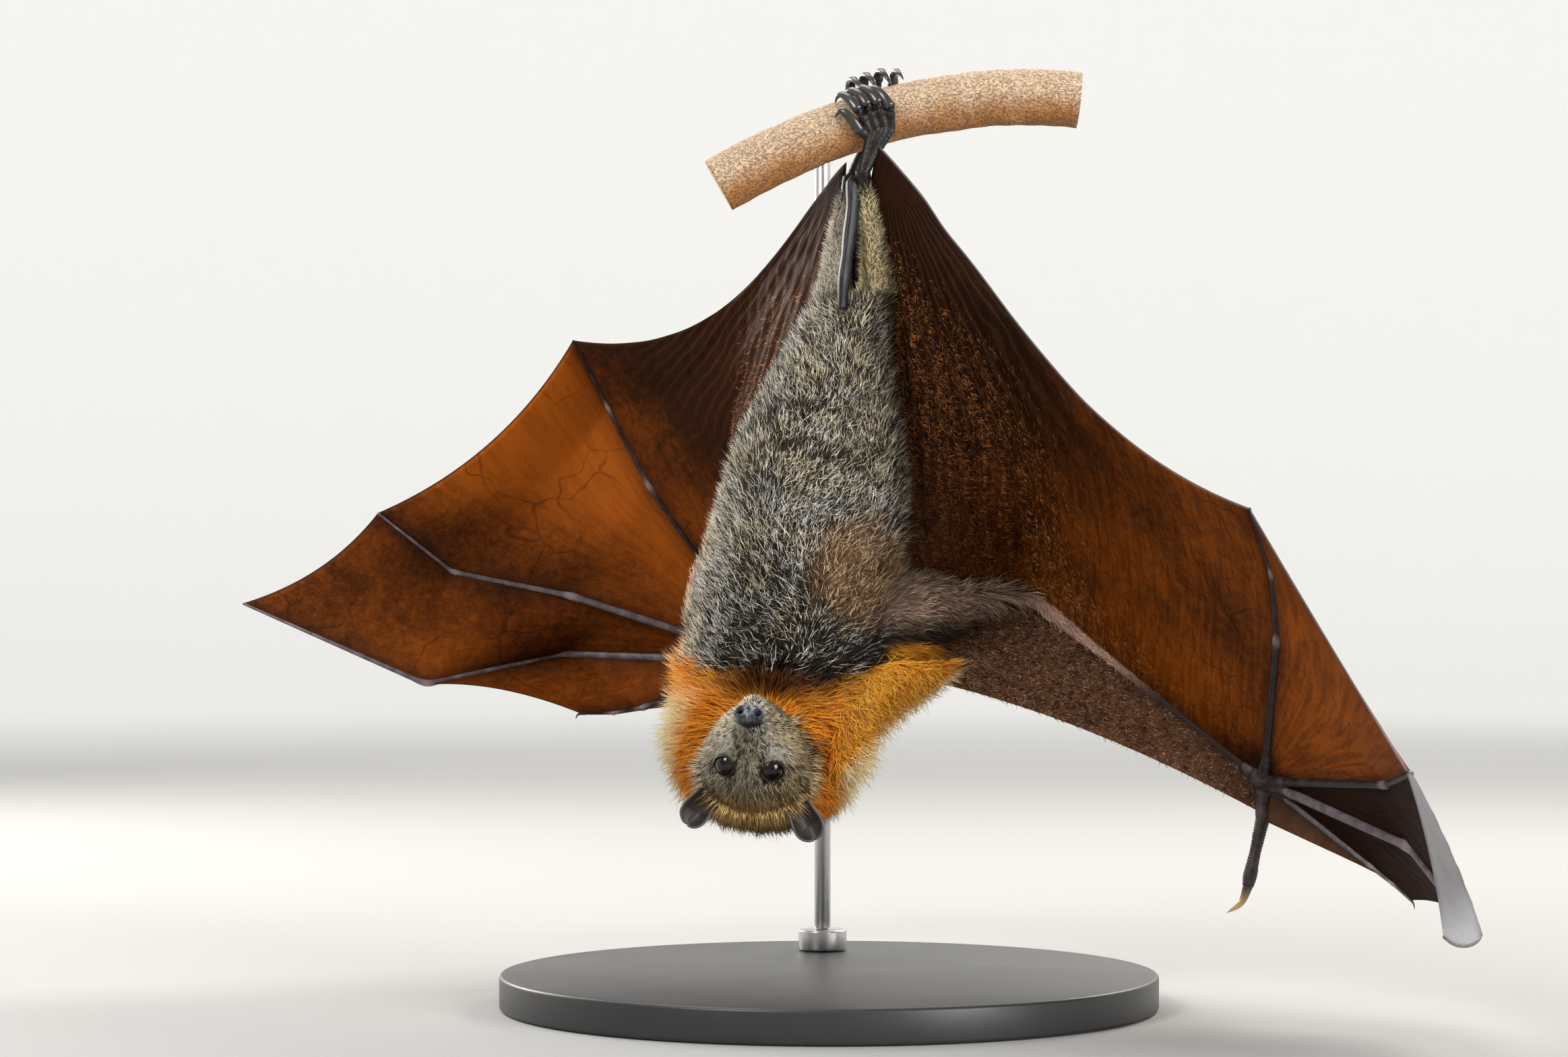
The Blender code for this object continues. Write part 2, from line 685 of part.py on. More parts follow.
def build_wrist(name, joints, pose):
    wrist = joints["wrist"]
    along = unit(pose["forearm"])
    hand = sum((unit(pose[digit][0]) for digit in METACARPAL), Vector()).normalized()
    path = [
        wrist - along * 0.0075,
        wrist - along * 0.0020,
        wrist + hand * 0.0035,
        wrist + hand * 0.0085,
    ]
    radii = [0.0050, 0.0060, 0.0056, 0.0034]
    bm = skin_rings(tube_rings(path, radii, 12))
    part_at(bm, wrist - along * (FOREARM * (1 - FOREARM_ROWS[-1][0]) - SEAM), -along)
    add_piece(f"wrist_{name}", bm, "bare_skin")


def resample(points, count):
    """Points spread evenly along a line, the nearest ones moved onto its corners."""
    table = np.array([tuple(point) for point in points])
    runs = np.diff(table, axis=0)
    lengths = np.linalg.norm(runs, axis=1)
    steps = np.r_[0, np.cumsum(lengths)]
    wanted = np.linspace(0, steps[-1], count)
    ways = runs / lengths[:, None]
    turns = (ways[:-1] * ways[1:]).sum(axis=1) < math.cos(CORNER)
    for corner in steps[1:-1][turns]:
        wanted[1 + np.abs(wanted[1:-1] - corner).argmin()] = corner
    return np.stack([np.interp(wanted, steps, table[:, k]) for k in range(3)], axis=1)


def coons(low, high, left, right):
    """The smooth patch between four edges: low and high run across, left and right run up."""
    u = np.linspace(0, 1, len(low))[None, :, None]
    v = np.linspace(0, 1, len(left))[:, None, None]
    ruled = (1 - v) * low[None] + v * high[None] + (1 - u) * left[:, None] + u * right[:, None]
    corners = (1 - u) * (1 - v) * low[0] + u * (1 - v) * low[-1]
    corners = corners + (1 - u) * v * high[0] + u * v * high[-1]
    return ruled - corners


def sheet_piece(name, grid, slot="membrane", thickness=SKIN):
    """A grid of points as a sheet of even thickness."""
    bm = bmesh.new()
    made = [[bm.verts.new(point) for point in line] for line in grid]
    for low, high in zip(made, made[1:]):
        for i in range(len(low) - 1):
            bm.faces.new((low[i], low[i + 1], high[i + 1], high[i]))
    step = add_piece(name, bm, slot).modifiers.new("Thickness", "SOLIDIFY")
    step.thickness = thickness
    step.offset = 0.0


def edge_arc(start, end, sag, skew=1.0):
    """A free edge between two anchors, drawn in towards the wing. The skew moves the deepest place."""
    line = []
    for t in np.linspace(0, 1, 15):
        bow = 4 * t**skew * (1 - t**skew)
        line.append(Vector(start).lerp(Vector(end), t) + Vector(sag) * bow)
    return line


def beside_finger(joints, digit, towards, to_bone=3):
    """The line a membrane follows beside a finger, on the side where the given points lie."""
    chain = joints[digit]
    line = []
    for bone in range(to_bone):
        start, end = chain[bone], chain[bone + 1]
        along = (end - start).normalized()
        shares = (0.22, 0.5, 0.93, 1.0) if bone == 0 else (0.07, 0.5, 0.93, 1.0)
        for share in shares:
            point = start.lerp(end, share)
            aim = towards(point)
            aim = (aim - along * aim.dot(along)).normalized()
            off = finger_radius(digit, bone, share) + EDGE_GAP
            line.append(point + aim * off)
    return line


def toward_chain(chain):
    """Points the way from a place to the nearest of a chain's stations."""
    stations = [Vector(row) for row in resample(chain, 24)]

    def aim(point):
        nearest = min(stations, key=lambda station: (station - point).length)
        return nearest - point

    return aim


def build_hand_membranes(name, joints):
    """The three membranes between fingers 2 and 3, 3 and 4, 4 and 5."""
    for digit in (2, 3, 4):
        near, far = joints[digit], joints[digit + 1]
        last = 2 if digit == 2 else 3
        lower = beside_finger(joints, digit, toward_chain(far))
        upper = beside_finger(joints, digit + 1, toward_chain(near), to_bone=last)
        edge = edge_arc(lower[-1], upper[-1], FREE_EDGE_SAG[(name, digit)])
        root = [lower[0], upper[0]]
        grid = coons(resample(root, 5), resample(edge, 5), resample(lower, 11), resample(upper, 11))
        sheet_piece(f"membrane_{digit}_{digit + 1}_{name}", grid)


def on_bodies(trees, point, outward, gap, step=None):
    """The outermost seat on any of several neighbours, at the point and a step before and after it."""
    outward = outward.normalized()
    starts = [point] if step is None else [point - step, point, point + step]
    rises = [
        (seated(tree, start, outward, gap=gap) - start).dot(outward) for tree in trees for start in starts
    ]
    return point + outward * max(rises)


def beside_arm(joints, towards, trees, shares):
    """The line a membrane follows beside the arm bones, given as (bone, share) pairs."""
    bones = {
        "humerus": (joints["shoulder"], joints["elbow"]),
        "forearm": (joints["elbow"], joints["wrist"]),
        "elbow": (joints["elbow"], joints["wrist"]),
    }
    line = []
    for bone, share in shares:
        start, end = bones[bone]
        along = (end - start).normalized()
        point = start.lerp(end, share)
        if bone == "elbow":
            point, along = elbow_curve(joints, share)
        aim = towards(point)
        aim = (aim - along * aim.dot(along)).normalized()
        line.append(on_bodies(trees, point, aim, FLANK_GAP, along * 0.004))
    return line


def draped(points, count, trees, way):
    """A line of evenly spread points, each seated on the outermost of the bodies."""
    line = [Vector(point) for point in resample(points, count)]
    step = (line[1] - line[0]) * 0.5
    return [on_bodies(trees, point, way, FLANK_GAP, step) for point in line]


def line_of(points):
    return np.array([tuple(point) for point in points])


def build_side_membrane(name, joints, pose, body_trees, arm_trees):
    """The broad membrane from the leg and flank to the arm and the fifth finger."""
    flank = draped(FLANK[name], 11, body_trees, unit(FLANK_WAY[name]))
    wrist = joints["wrist"]
    corner = wrist + (unit(pose[5][0]) - unit(pose["forearm"])).normalized() * 0.0145
    finger = beside_finger(joints, 5, toward_chain([Vector(point) for point in FLANK[name]]))
    finger = [corner, *finger[1:]]
    middle = (Vector(FLANK[name][4]) + joints[5][2]) / 2
    shares = [("humerus", share) for share in SIDE_ARM_SHARES[name]]
    shares += [("elbow", 0.2), ("elbow", 0.5), ("elbow", 0.8)]
    shares += [("forearm", share) for share in (0.18, 0.3, 0.43, 0.57, 0.71, 0.85)]
    arm = beside_arm(joints, lambda point: middle - point, [*body_trees, *arm_trees], shares)
    arm = [flank[-1], *arm, corner]
    edge = edge_arc(flank[0], finger[-1], FREE_EDGE_SAG[(name, "plagio")], SIDE_EDGE_SKEW[name])
    across = len(arm)
    sheet_piece(
        f"side_membrane_{name}",
        coons(resample(edge, across), line_of(arm), line_of(flank), resample(finger[::-1], 11)),
    )


def build_front_membrane(name, joints, arm_trees, body_trees):
    """The membrane in front of the elbow, from the shoulder to the thumb."""
    spec = FRONT_MEMBRANE[name]
    wrist = joints["wrist"]
    trees = [*body_trees, *arm_trees]
    base = joints["thumb"][0].lerp(joints["thumb"][1], 0.8)
    tip = base + (joints["elbow"] - wrist).normalized() * 0.0045
    way = unit(spec["way"])
    root = on_bodies(trees, Vector(spec["root"]), way, FLANK_GAP)
    lead = edge_arc(root, tip, spec["sag"])
    chord = (root + wrist) / 2
    shares = [("humerus", share) for share in FRONT_ARM_SHARES[name]]
    shares += [("forearm", share) for share in (0.14, 0.3, 0.45, 0.6, 0.75, 0.88)]
    arm = beside_arm(joints, lambda point: chord - point, trees, shares)
    near = [root, *draped([root - way * 0.012, arm[0] - way * 0.012], 6, trees, way)[1:-1], arm[0]]
    far = [tip, arm[-1]]
    grid = coons(resample(lead, len(arm)), line_of(arm), line_of(near), resample(far, 6))
    sheet_piece(f"front_membrane_{name}", grid)


def build_wing(name, body_guide, body_trees):
    pose = POSE[name]
    joints = wing_joints(pose)
    arm = [build_upper_arm(name, joints, body_guide), build_forearm(name, joints)]
    arm_trees = [surface_of(piece) for piece in arm]
    build_wrist(name, joints, pose)
    build_thumb(name, joints)
    build_fingers(name, joints)
    build_hand_membranes(name, joints)
    build_side_membrane(name, joints, pose, body_trees, arm_trees)
    build_front_membrane(name, joints, arm_trees, body_trees)


def perch_centre(x):
    return Vector((x, 0, PERCH_CROWN[1] - PERCH_ARCH * (x - PERCH_CROWN[0]) ** 2))


def perch_axes(x):
    along = Vector((1, 0, -2 * PERCH_ARCH * (x - PERCH_CROWN[0]))).normalized()
    return along, Vector((-along.z, 0, along.x))


def round_perch(x, angle, off, front):
    """A point beside the perch. The angle is 0 at its middle height and 90 degrees at its top."""
    _, up = perch_axes(x)
    reach = PERCH_RADIUS + off
    outward = Vector((0, -front, 0)) * math.cos(angle) + up * math.sin(angle)
    return perch_centre(x) + outward * reach


def build_perch():
    rings = []
    for x in np.linspace(*PERCH_ENDS, 11):
        _, up = perch_axes(x)
        radius = PERCH_RADIUS * (1 - 0.012 * math.sin(90 * x) ** 2)
        rings.append(oval(perch_centre(x), Vector((0, -1, 0)), up, radius, radius, radius, 18))
    return add_piece("perch", skin_rings(rings), "bark")


def toe_path(row, front):
    """The middle line and the radii of one toe with its hooked claw."""
    root_x, tip_x, low, high = row
    points, radii = [], []
    for share in (0.0, 0.25, 0.5, 0.75, 1.0):
        x = root_x + (tip_x - root_x) * share
        angle = math.radians(low + (high - low) * share)
        radius = TOE_RADIUS * (1.0 - 0.12 * share)
        points.append(round_perch(x, angle, radius + SEAM * 1.8, front))
        radii.append(radius)
    for share, rise, radius in ((0.28, 0.0016, 0.0016), (0.62, 0.0022, 0.0012), (1.0, 0.0008, 0.0005)):
        x = tip_x - CLAW_REACH * share
        angle = math.radians(high + 40 * math.sin(share * 2.1))
        points.append(round_perch(x, angle, radius + SEAM * 1.8 + rise, front))
        radii.append(radius)
    return points, radii


def build_foot(name, ankle, along):
    """The sole and its five toes, joined into one solid."""
    front = FOOT_FRONT[name]
    inner = round_perch(0.0175, math.radians(-52), 0.0056, front)
    pad = round_perch(0.0205, math.radians(-26), 0.0040, front)
    stops = [tuple(ankle - along * 0.003), tuple(ankle + along * 0.003), tuple(inner), tuple(pad)]
    path = [Vector(row) for row in smooth_rows(stops, 7)]
    frames = tube_frames(path, perch_axes(0.019)[0])
    widths = [0.0042, 0.0042, 0.0044, 0.0050, 0.0060, 0.0068, 0.0060]
    depths = [0.0040, 0.0040, 0.0037, 0.0033, 0.0028, 0.0024, 0.0018]
    rings = []
    for centre, (side, up), width, depth in zip(path, frames, widths, depths):
        rings.append(oval(centre, side, up, width, depth, depth, 12))
    bm = skin_rings(rings)
    part_at(bm, ankle + along * SEAM, -along)
    foot = add_piece(f"foot_{name}", bm, "bare_skin")
    for number, row in enumerate(TOES[name], 1):
        points, radii = toe_path(row, front)
        toe = add_piece(f"toe_{number}_{name}", skin_rings(tube_rings(points, radii, 5)), "bare_skin")
        boolean(foot, "UNION", toe)
    return foot


def build_feet():
    return {
        name: build_foot(name, Vector(points[-1]), shank_way(name)) for name, points in SHANKS.items()
    }


def build_calcar():
    """The bare fold of membrane on its spur, between the legs."""
    path = [
        Vector((0.0085, -0.0120, 0.3900)),
        Vector((0.0078, -0.0125, 0.3720)),
        Vector((0.0062, -0.0150, 0.3520)),
        Vector((0.0040, -0.0240, 0.3350)),
    ]
    path = [Vector(row) for row in smooth_rows(path, 8)]
    radii = [0.0026, 0.0027, 0.0026, 0.0025, 0.0024, 0.0022, 0.0020, 0.0015]
    add_piece("tail_membrane_fold", skin_rings(tube_rings(path, radii, 8)), "bare_skin")


def rod(name, start, end, radius, slot, sides=16):
    along = end - start
    bm = bmesh.new()
    turn = Vector((0, 0, 1)).rotation_difference(along).to_matrix().to_4x4()
    place = Matrix.Translation((start + end) / 2) @ turn
    bmesh.ops.create_cone(
        bm, cap_ends=True, segments=sides, radius1=radius, radius2=radius, depth=along.length, matrix=place
    )
    return add_piece(name, bm, slot)


def build_stand(perch_tree):
    bm = bmesh.new()
    bmesh.ops.create_cone(
        bm, cap_ends=True, segments=36, radius1=BASE_RADIUS, radius2=BASE_RADIUS, depth=BASE_HEIGHT
    )
    bmesh.ops.translate(bm, verts=bm.verts[:], vec=(0, 0, BASE_HEIGHT / 2))
    rim = [edge for edge in bm.edges if all(vert.co.z > BASE_HEIGHT / 2 for vert in edge.verts)]
    bmesh.ops.bevel(bm, geom=rim, offset=0.002, segments=2, affect="EDGES", profile=0.5)
    add_piece("stand_base", bm, "stand_black")
    x, y = POST_PLACE
    arm_height = perch_centre(x).z
    foot = Vector((x, y, BASE_HEIGHT + SEAM))
    rod("stand_collar", foot, foot + Vector((0, 0, COLLAR[1])), COLLAR[0], "stand_steel", 24)
    low = foot + Vector((0, 0, COLLAR[1] + SEAM))
    top = Vector((x, y, arm_height + ROD_RADIUS * 1.5))
    rod("stand_post", low, top, ROD_RADIUS, "stand_steel")
    near = Vector((x, y - ROD_RADIUS - SEAM, arm_height))
    end = seated(perch_tree, perch_centre(x), Vector((0, 1, 0)), gap=SEAM)
    rod("stand_arm", near, Vector((x, end.y, arm_height)), ROD_RADIUS, "stand_steel")


def build_body_guide():
    """A hidden solid a seam's width larger than the trunk and the neck, to cut the arms with."""
    side, back = body_axes()
    rings = body_rings(TRUNK_ROWS[::-1], 12, 24, SEAM) + body_rings(NECK_ROWS[1:], 8, 24, SEAM)
    return as_cutter(add_piece("body_guide", skin_rings(rings), "grey_fur"))


def build_all():
    clear_scene()
    axes = head_frame()
    trunk = build_trunk()
    thighs = build_thighs()
    shanks = build_shanks()
    neck = build_neck(as_cutter(head_piece("head_guide", axes, SEAM)))
    head_tree = build_head(axes)
    build_nose(axes)
    build_ear("left", -1, axes, head_tree)
    build_ear("right", 1, axes, head_tree)
    feet = build_feet()
    body_guide = build_body_guide()
    for name in ("right", "left"):
        body = [trunk, neck, thighs[name], shanks[name], feet[name]]
        build_wing(name, body_guide, [surface_of(piece) for piece in body])
    build_calcar()
    build_stand(surface_of(build_perch()))


build_all()
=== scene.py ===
"""Finishes a life-size grey-headed flying fox that hangs from a cut length of branch on a display stand.

The CAD solids are the frame. This file grows the skin, the coat, the wings, the bare hands and feet
and the bark on them, in metres and in the same axes: +Z up, the belly towards -Y.
"""

import math

import bmesh
import bpy
import numpy as np
from mathutils import Matrix, Vector
from mathutils.bvhtree import BVHTree
from mathutils.kdtree import KDTree


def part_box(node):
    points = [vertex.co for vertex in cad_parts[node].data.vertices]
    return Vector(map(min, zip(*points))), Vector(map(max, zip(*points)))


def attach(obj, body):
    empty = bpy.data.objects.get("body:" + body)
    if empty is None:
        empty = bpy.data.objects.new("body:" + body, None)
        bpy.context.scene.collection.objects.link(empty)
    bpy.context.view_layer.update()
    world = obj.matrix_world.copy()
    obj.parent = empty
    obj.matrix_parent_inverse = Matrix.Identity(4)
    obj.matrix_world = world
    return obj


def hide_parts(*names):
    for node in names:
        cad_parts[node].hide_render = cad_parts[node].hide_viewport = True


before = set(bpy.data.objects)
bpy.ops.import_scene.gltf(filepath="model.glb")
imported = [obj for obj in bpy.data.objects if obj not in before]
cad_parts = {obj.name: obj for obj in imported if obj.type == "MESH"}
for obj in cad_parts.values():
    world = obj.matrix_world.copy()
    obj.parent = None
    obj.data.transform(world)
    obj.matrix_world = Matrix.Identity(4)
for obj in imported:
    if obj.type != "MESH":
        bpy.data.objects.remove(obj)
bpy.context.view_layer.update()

bl_info = {
    "name": "Flying Fox Model",
    "version": (1, 0, 0),
    "blender": (4, 5, 0),
    "location": "3D View > Sidebar > Flying Fox",
    "description": "Skin, coat, wings and display stand for a life-size flying fox",
    "category": "Add Mesh",
}

SIDES = ("right", "left")
SIGN = {"right": 1, "left": -1}
DIGITS = (2, 3, 4, 5)

# Bone lengths and the pose of both wings: the direction of each bone, from the shoulder to the tips.
HUMERUS = 0.110
FOREARM = 0.160
METACARPAL = {2: 0.072, 3: 0.112, 4: 0.110, 5: 0.115}
PHALANGES = {2: (0.015, 0.017), 3: (0.080, 0.105), 4: (0.062, 0.062), 5: (0.045, 0.042)}
THUMB = (0.014, 0.032)
THUMB_CLAW = 0.017
POSE = {
    "right": {
        "shoulder": (0.019, -0.010, 0.176),
        "humerus": (0.69, 0.70, 0.17),
        "forearm": (0.68, -0.48, -0.55),
        2: ((0.63, -0.58, -0.52), (0.50, -0.76, -0.42), (0.36, -0.86, -0.37)),
        3: ((0.48, -0.85, -0.21), (0.22, -0.89, -0.39), (-0.26, -0.96, 0.01)),
        4: ((0.39, -0.92, 0.04), (0.03, -0.99, 0.14), (-0.17, -0.98, 0.06)),
        5: ((-0.04, -0.80, 0.60), (-0.14, -0.73, 0.67), (-0.31, -0.68, 0.67)),
        "thumb": ((-0.06, -0.06, -0.99), (-0.22, -0.06, -0.97)),
        "thumb_claw": ((-0.40, -0.15, -0.90), (-0.80, -0.30, -0.50)),
    },
    "left": {
        "shoulder": (-0.059, 0.015, 0.169),
        "humerus": (0.15, 0.52, 0.84),
        "forearm": (0.10, 0.75, -0.66),
        2: ((-0.94, -0.06, -0.33), (-0.95, -0.25, -0.16), (-0.95, -0.30, 0.00)),
        3: ((-0.98, 0.20, 0.03), (-0.85, -0.49, -0.18), (-0.85, -0.34, 0.40)),
        4: ((-0.95, -0.05, 0.31), (-0.97, -0.10, 0.20), (-0.55, -0.68, 0.48)),
        5: ((-0.55, -0.27, 0.79), (-0.46, -0.08, 0.88), (-0.40, -0.49, 0.78)),
        "thumb": ((0.10, -0.10, -0.99), (0.05, -0.35, -0.93)),
        "thumb_claw": ((-0.05, -0.55, -0.83), (-0.15, -0.85, -0.45)),
    },
}
BONE_RADIUS = {2: 0.0018, 3: 0.0027, 4: 0.0023, 5: 0.0022}
TIP_RADIUS = 0.0007
ELBOW_BEND = 0.017
ELBOW_SHARES = (0.0, 0.25, 0.5, 0.75, 1.0)

# Where the side membrane leaves the leg and the flank, and how far its free edges are drawn in.
FLANK = {
    "right": (
        (0.0235, -0.0165, 0.4035),
        (0.0200, -0.0135, 0.3900),
        (0.0205, -0.0080, 0.3760),
        (0.0250, -0.0020, 0.3500),
        (0.0270, 0.0030, 0.3200),
        (0.0290, 0.0050, 0.2900),
        (0.0290, 0.0060, 0.2550),
        (0.0270, 0.0060, 0.2100),
    ),
    "left": (
        (0.0085, 0.0180, 0.3990),
        (0.0075, 0.0165, 0.3870),
        (0.0040, 0.0130, 0.3700),
        (-0.0010, 0.0090, 0.3500),
        (-0.0100, 0.0080, 0.3200),
        (-0.0200, 0.0090, 0.2900),
        (-0.0310, 0.0110, 0.2600),
        (-0.0380, 0.0140, 0.2150),
    ),
}
SIDE_SAG = {"right": (-0.0118, 0.004, -0.0122), "left": (0.0145, 0.0, -0.0225)}
SIDE_SKEW = {"right": 1.58, "left": 1.3}
HAND_SAG = {
    "right": {4: (0.0, 0.003, 0.0), 3: (0.002, 0.002, 0.0), 2: (0.003, 0.004, 0.004)},
    "left": {4: (0.007, 0.003, -0.008), 3: (0.004, 0.003, -0.005), 2: (-0.002, 0.003, 0.005)},
}
FRONT_ROOT = {"right": (0.0230, -0.0020, 0.1580), "left": (-0.0560, 0.0200, 0.1480)}
FRONT_SAG = {"right": (-0.004, 0.010, 0.010), "left": (0.0, -0.006, 0.010)}

# The head, measured from the tip of the nose.
NOSE_TIP = Vector((-0.0369, -0.075, 0.142))
HEAD_PITCH = math.radians(33)
HEAD_YAW = math.radians(-4.5)
HEAD_ROLL = math.radians(7.5)
EYE_RADIUS = 0.0063
EAR_ROOT = (0.0480, 0.0175, 0.0130)
EAR_TIP = (0.0600, 0.0290, 0.0270)
EAR_HALF_WIDTH = 0.0070

# The branch and the toes that grip it.
PERCH_RADIUS = 0.0132
PERCH_ENDS = (-0.052, 0.118)
PERCH_CROWN = (0.092, 0.428)
PERCH_ARCH = 2.0
TOES = {
    "right": (
        (0.0150, 0.0130, -34, -16),
        (0.0172, 0.0150, -22, 20),
        (0.0204, 0.0196, -20, 24),
        (0.0242, 0.0245, -20, 22),
        (0.0276, 0.0292, -24, 10),
    ),
    "left": (
        (0.0150, 0.0130, -30, 30),
        (0.0166, 0.0155, -20, 64),
        (0.0200, 0.0215, -18, 68),
        (0.0240, 0.0280, -18, 68),
        (0.0280, 0.0340, -24, 48),
    ),
}
TOE_RADIUS = 0.0021
TOE_START = -0.25
CLAW_REACH = 0.0085

ANKLES = {
    "right": ((0.0195, -0.0090, 0.3720), (0.0165, -0.0135, 0.3880)),
    "left": ((0.0070, 0.0110, 0.3720), (0.0095, 0.0150, 0.3870)),
}

# The flesh under the coat: how deep the coat is on each node, the hair's length there, and its lift.
FLESH = {
    "head": (0.0022, 0.0050, 44),
    "neck": (0.0105, 0.0185, 44),
    "trunk": (0.0066, 0.0112, 50),
    "thigh_left": (0.0056, 0.0102, 46),
    "thigh_right": (0.0056, 0.0102, 46),
    "shank_left": (0.0016, 0.0060, 26),
    "shank_right": (0.0016, 0.0060, 26),
    "upper_arm_left": (0.0040, 0.0090, 30),
    "upper_arm_right": (0.0030, 0.0110, 40),
    "forearm_left": (0.0012, 0.0050, 20),
    "forearm_right": (0.0012, 0.0050, 20),
}
FLESH_VOXEL = 0.0016
BARE_VOXEL = 0.00055
SAME_POINT = 0.00001

# The hair's usual lengths. The add-on's lengths are measured against them.
COAT_LENGTH = 0.015
MANTLE_LENGTH = 0.0185
FACE_LENGTH = 0.005

# The side of one hair's patch in the unwrap, and the tones that each hair carries.
PATCH = 0.003
MARKS = ("mantle", "face", "limb", "silver", "dark", "down", "grizzle")


# Small sums


def unit(direction):
    return Vector(direction).normalized()


def as_array(points):
    return np.array([tuple(point) for point in points], float)


def unit_rows(table):
    return table / np.maximum(np.linalg.norm(table, axis=1, keepdims=True), 1e-12)


def ease(values, low, high):
    """0 below low, 1 above high, and smooth between."""
    share = np.clip((values - low) / (high - low), 0, 1)
    return share * share * (3 - 2 * share)


def smooth_rows(rows, count):
    """The rows read at evenly spaced places along smooth curves through them."""
    table = as_array(rows)
    wanted = np.linspace(0, len(table) - 1, count)
    slopes = np.gradient(table, axis=0)
    low = np.clip(wanted.astype(int), 0, len(table) - 2)
    t = (wanted - low)[:, None]
    blend = 3 * t**2 - 2 * t**3
    lift = t * (1 - t) ** 2 * slopes[low] - t**2 * (1 - t) * slopes[low + 1]
    return table[low] * (1 - blend) + table[low + 1] * blend + lift


def resample(points, count, corner=math.radians(9)):
    """Points spread evenly along a line, the nearest ones moved onto its corners."""
    table = as_array(points)
    runs = np.diff(table, axis=0)
    lengths = np.linalg.norm(runs, axis=1)
    steps = np.r_[0, np.cumsum(lengths)]
    wanted = np.linspace(0, steps[-1], count)
    ways = runs / lengths[:, None]
    turns = (ways[:-1] * ways[1:]).sum(axis=1) < math.cos(corner)
    for place in steps[1:-1][turns]:
        wanted[1 + np.abs(wanted[1:-1] - place).argmin()] = place
    return np.stack([np.interp(wanted, steps, table[:, k]) for k in range(3)], axis=1)


def coons(low, high, left, right):
    """The smooth patch between four edges: low and high run across, left and right run up."""
    u = np.linspace(0, 1, len(low))[None, :, None]
    v = np.linspace(0, 1, len(left))[:, None, None]
    ruled = (1 - v) * low[None] + v * high[None] + (1 - u) * left[:, None] + u * right[:, None]
    corners = (1 - u) * (1 - v) * low[0] + u * (1 - v) * low[-1]
    corners = corners + (1 - u) * v * high[0] + u * v * high[-1]
    return ruled - corners


def soft_noise(points, size, seed):
    """A smooth noise from -1 to 1, made of a few crossed waves."""
    rng = np.random.default_rng(seed)
    total = np.zeros(len(points))
    for _ in range(9):
        wave = rng.normal(0, 1, 3) * 2.4 / size
        total += np.sin(points @ wave + rng.uniform(0, 2 * math.pi))
    return total / 4.2


# Meshes


def new_object(name, data):
    made = bpy.data.objects.new(name, data)
    bpy.context.scene.collection.objects.link(made)
    return made


def shade_smooth(mesh):
    mesh.polygons.foreach_set("use_smooth", [True] * len(mesh.polygons))


def smooth_mesh(name, points, faces):
    mesh = bpy.data.meshes.new(name)
    mesh.from_pydata([tuple(point) for point in points], [], [tuple(face) for face in faces])
    shade_smooth(mesh)
    return new_object(name, mesh)


def add_mesh(name, points, faces, tone, nodes=()):
    """A new piece from points and faces, ready for the table of pieces."""
    return finish_piece(smooth_mesh(name, points, faces), tone, nodes)


def finish_piece(piece, tone, nodes=()):
    piece.data.materials.clear()
    piece.data.materials.append(tone)
    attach(piece, "root")
    if nodes:
        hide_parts(*nodes)
    return piece


def only(*objects):
    """Selects these objects alone, the first one active."""
    bpy.ops.object.select_all(action="DESELECT")
    for one in objects:
        one.select_set(True)
    bpy.context.view_layer.objects.active = objects[0]


def copy_of_nodes(name, nodes):
    """One object with copies of these CAD nodes' meshes, their loose triangles merged."""
    copies = []
    for node in nodes:
        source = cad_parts[node]
        copies.append(new_object(f"{name}_{node}", source.data.copy()))
    only(*copies)
    if len(copies) > 1:
        bpy.ops.object.join()
    joined = bpy.context.view_layer.objects.active
    joined.name = name
    clean(joined, merge=True)
    return joined


def clean(piece, merge=False, outwards=False):
    """Merges the points that lie together, and turns every face outwards."""
    only(piece)
    bpy.ops.object.mode_set(mode="EDIT")
    bpy.ops.mesh.select_all(action="SELECT")
    if merge:
        bpy.ops.mesh.remove_doubles(threshold=SAME_POINT)
    if outwards:
        bpy.ops.mesh.normals_make_consistent(inside=False)
    bpy.ops.object.mode_set(mode="OBJECT")


def primitive(kind, name, **values):
    """A sphere or a cylinder of Blender's own, its place and turn applied."""
    bpy.ops.object.select_all(action="DESELECT")
    getattr(bpy.ops.mesh, f"primitive_{kind}_add")(**values)
    made = bpy.context.object
    bpy.ops.object.transform_apply(location=True, rotation=True, scale=True)
    made.name = name
    return made


def apply_step(piece, kind, **values):
    """Adds a modifier with these values and applies it."""
    only(piece)
    step = piece.modifiers.new(kind.title(), kind)
    for name, value in values.items():
        setattr(step, name, value)
    bpy.ops.object.modifier_apply(modifier=step.name)


def rows_of(items, name, width, kind=float):
    """One property of every item, a row for each."""
    table = np.empty(len(items) * width, kind)
    items.foreach_get(name, table)
    return table.reshape(-1, width)


def points_of(mesh):
    return rows_of(mesh.vertices, "co", 3)


def normals_of(mesh):
    return rows_of(mesh.vertex_normals, "vector", 3)


def edges_of(mesh):
    return rows_of(mesh.edges, "vertices", 2, int)


def triangles_of(mesh):
    mesh.calc_loop_triangles()
    return rows_of(mesh.loop_triangles, "vertices", 3, int)


def move_points(mesh, points):
    mesh.vertices.foreach_set("co", points.ravel())
    mesh.update()


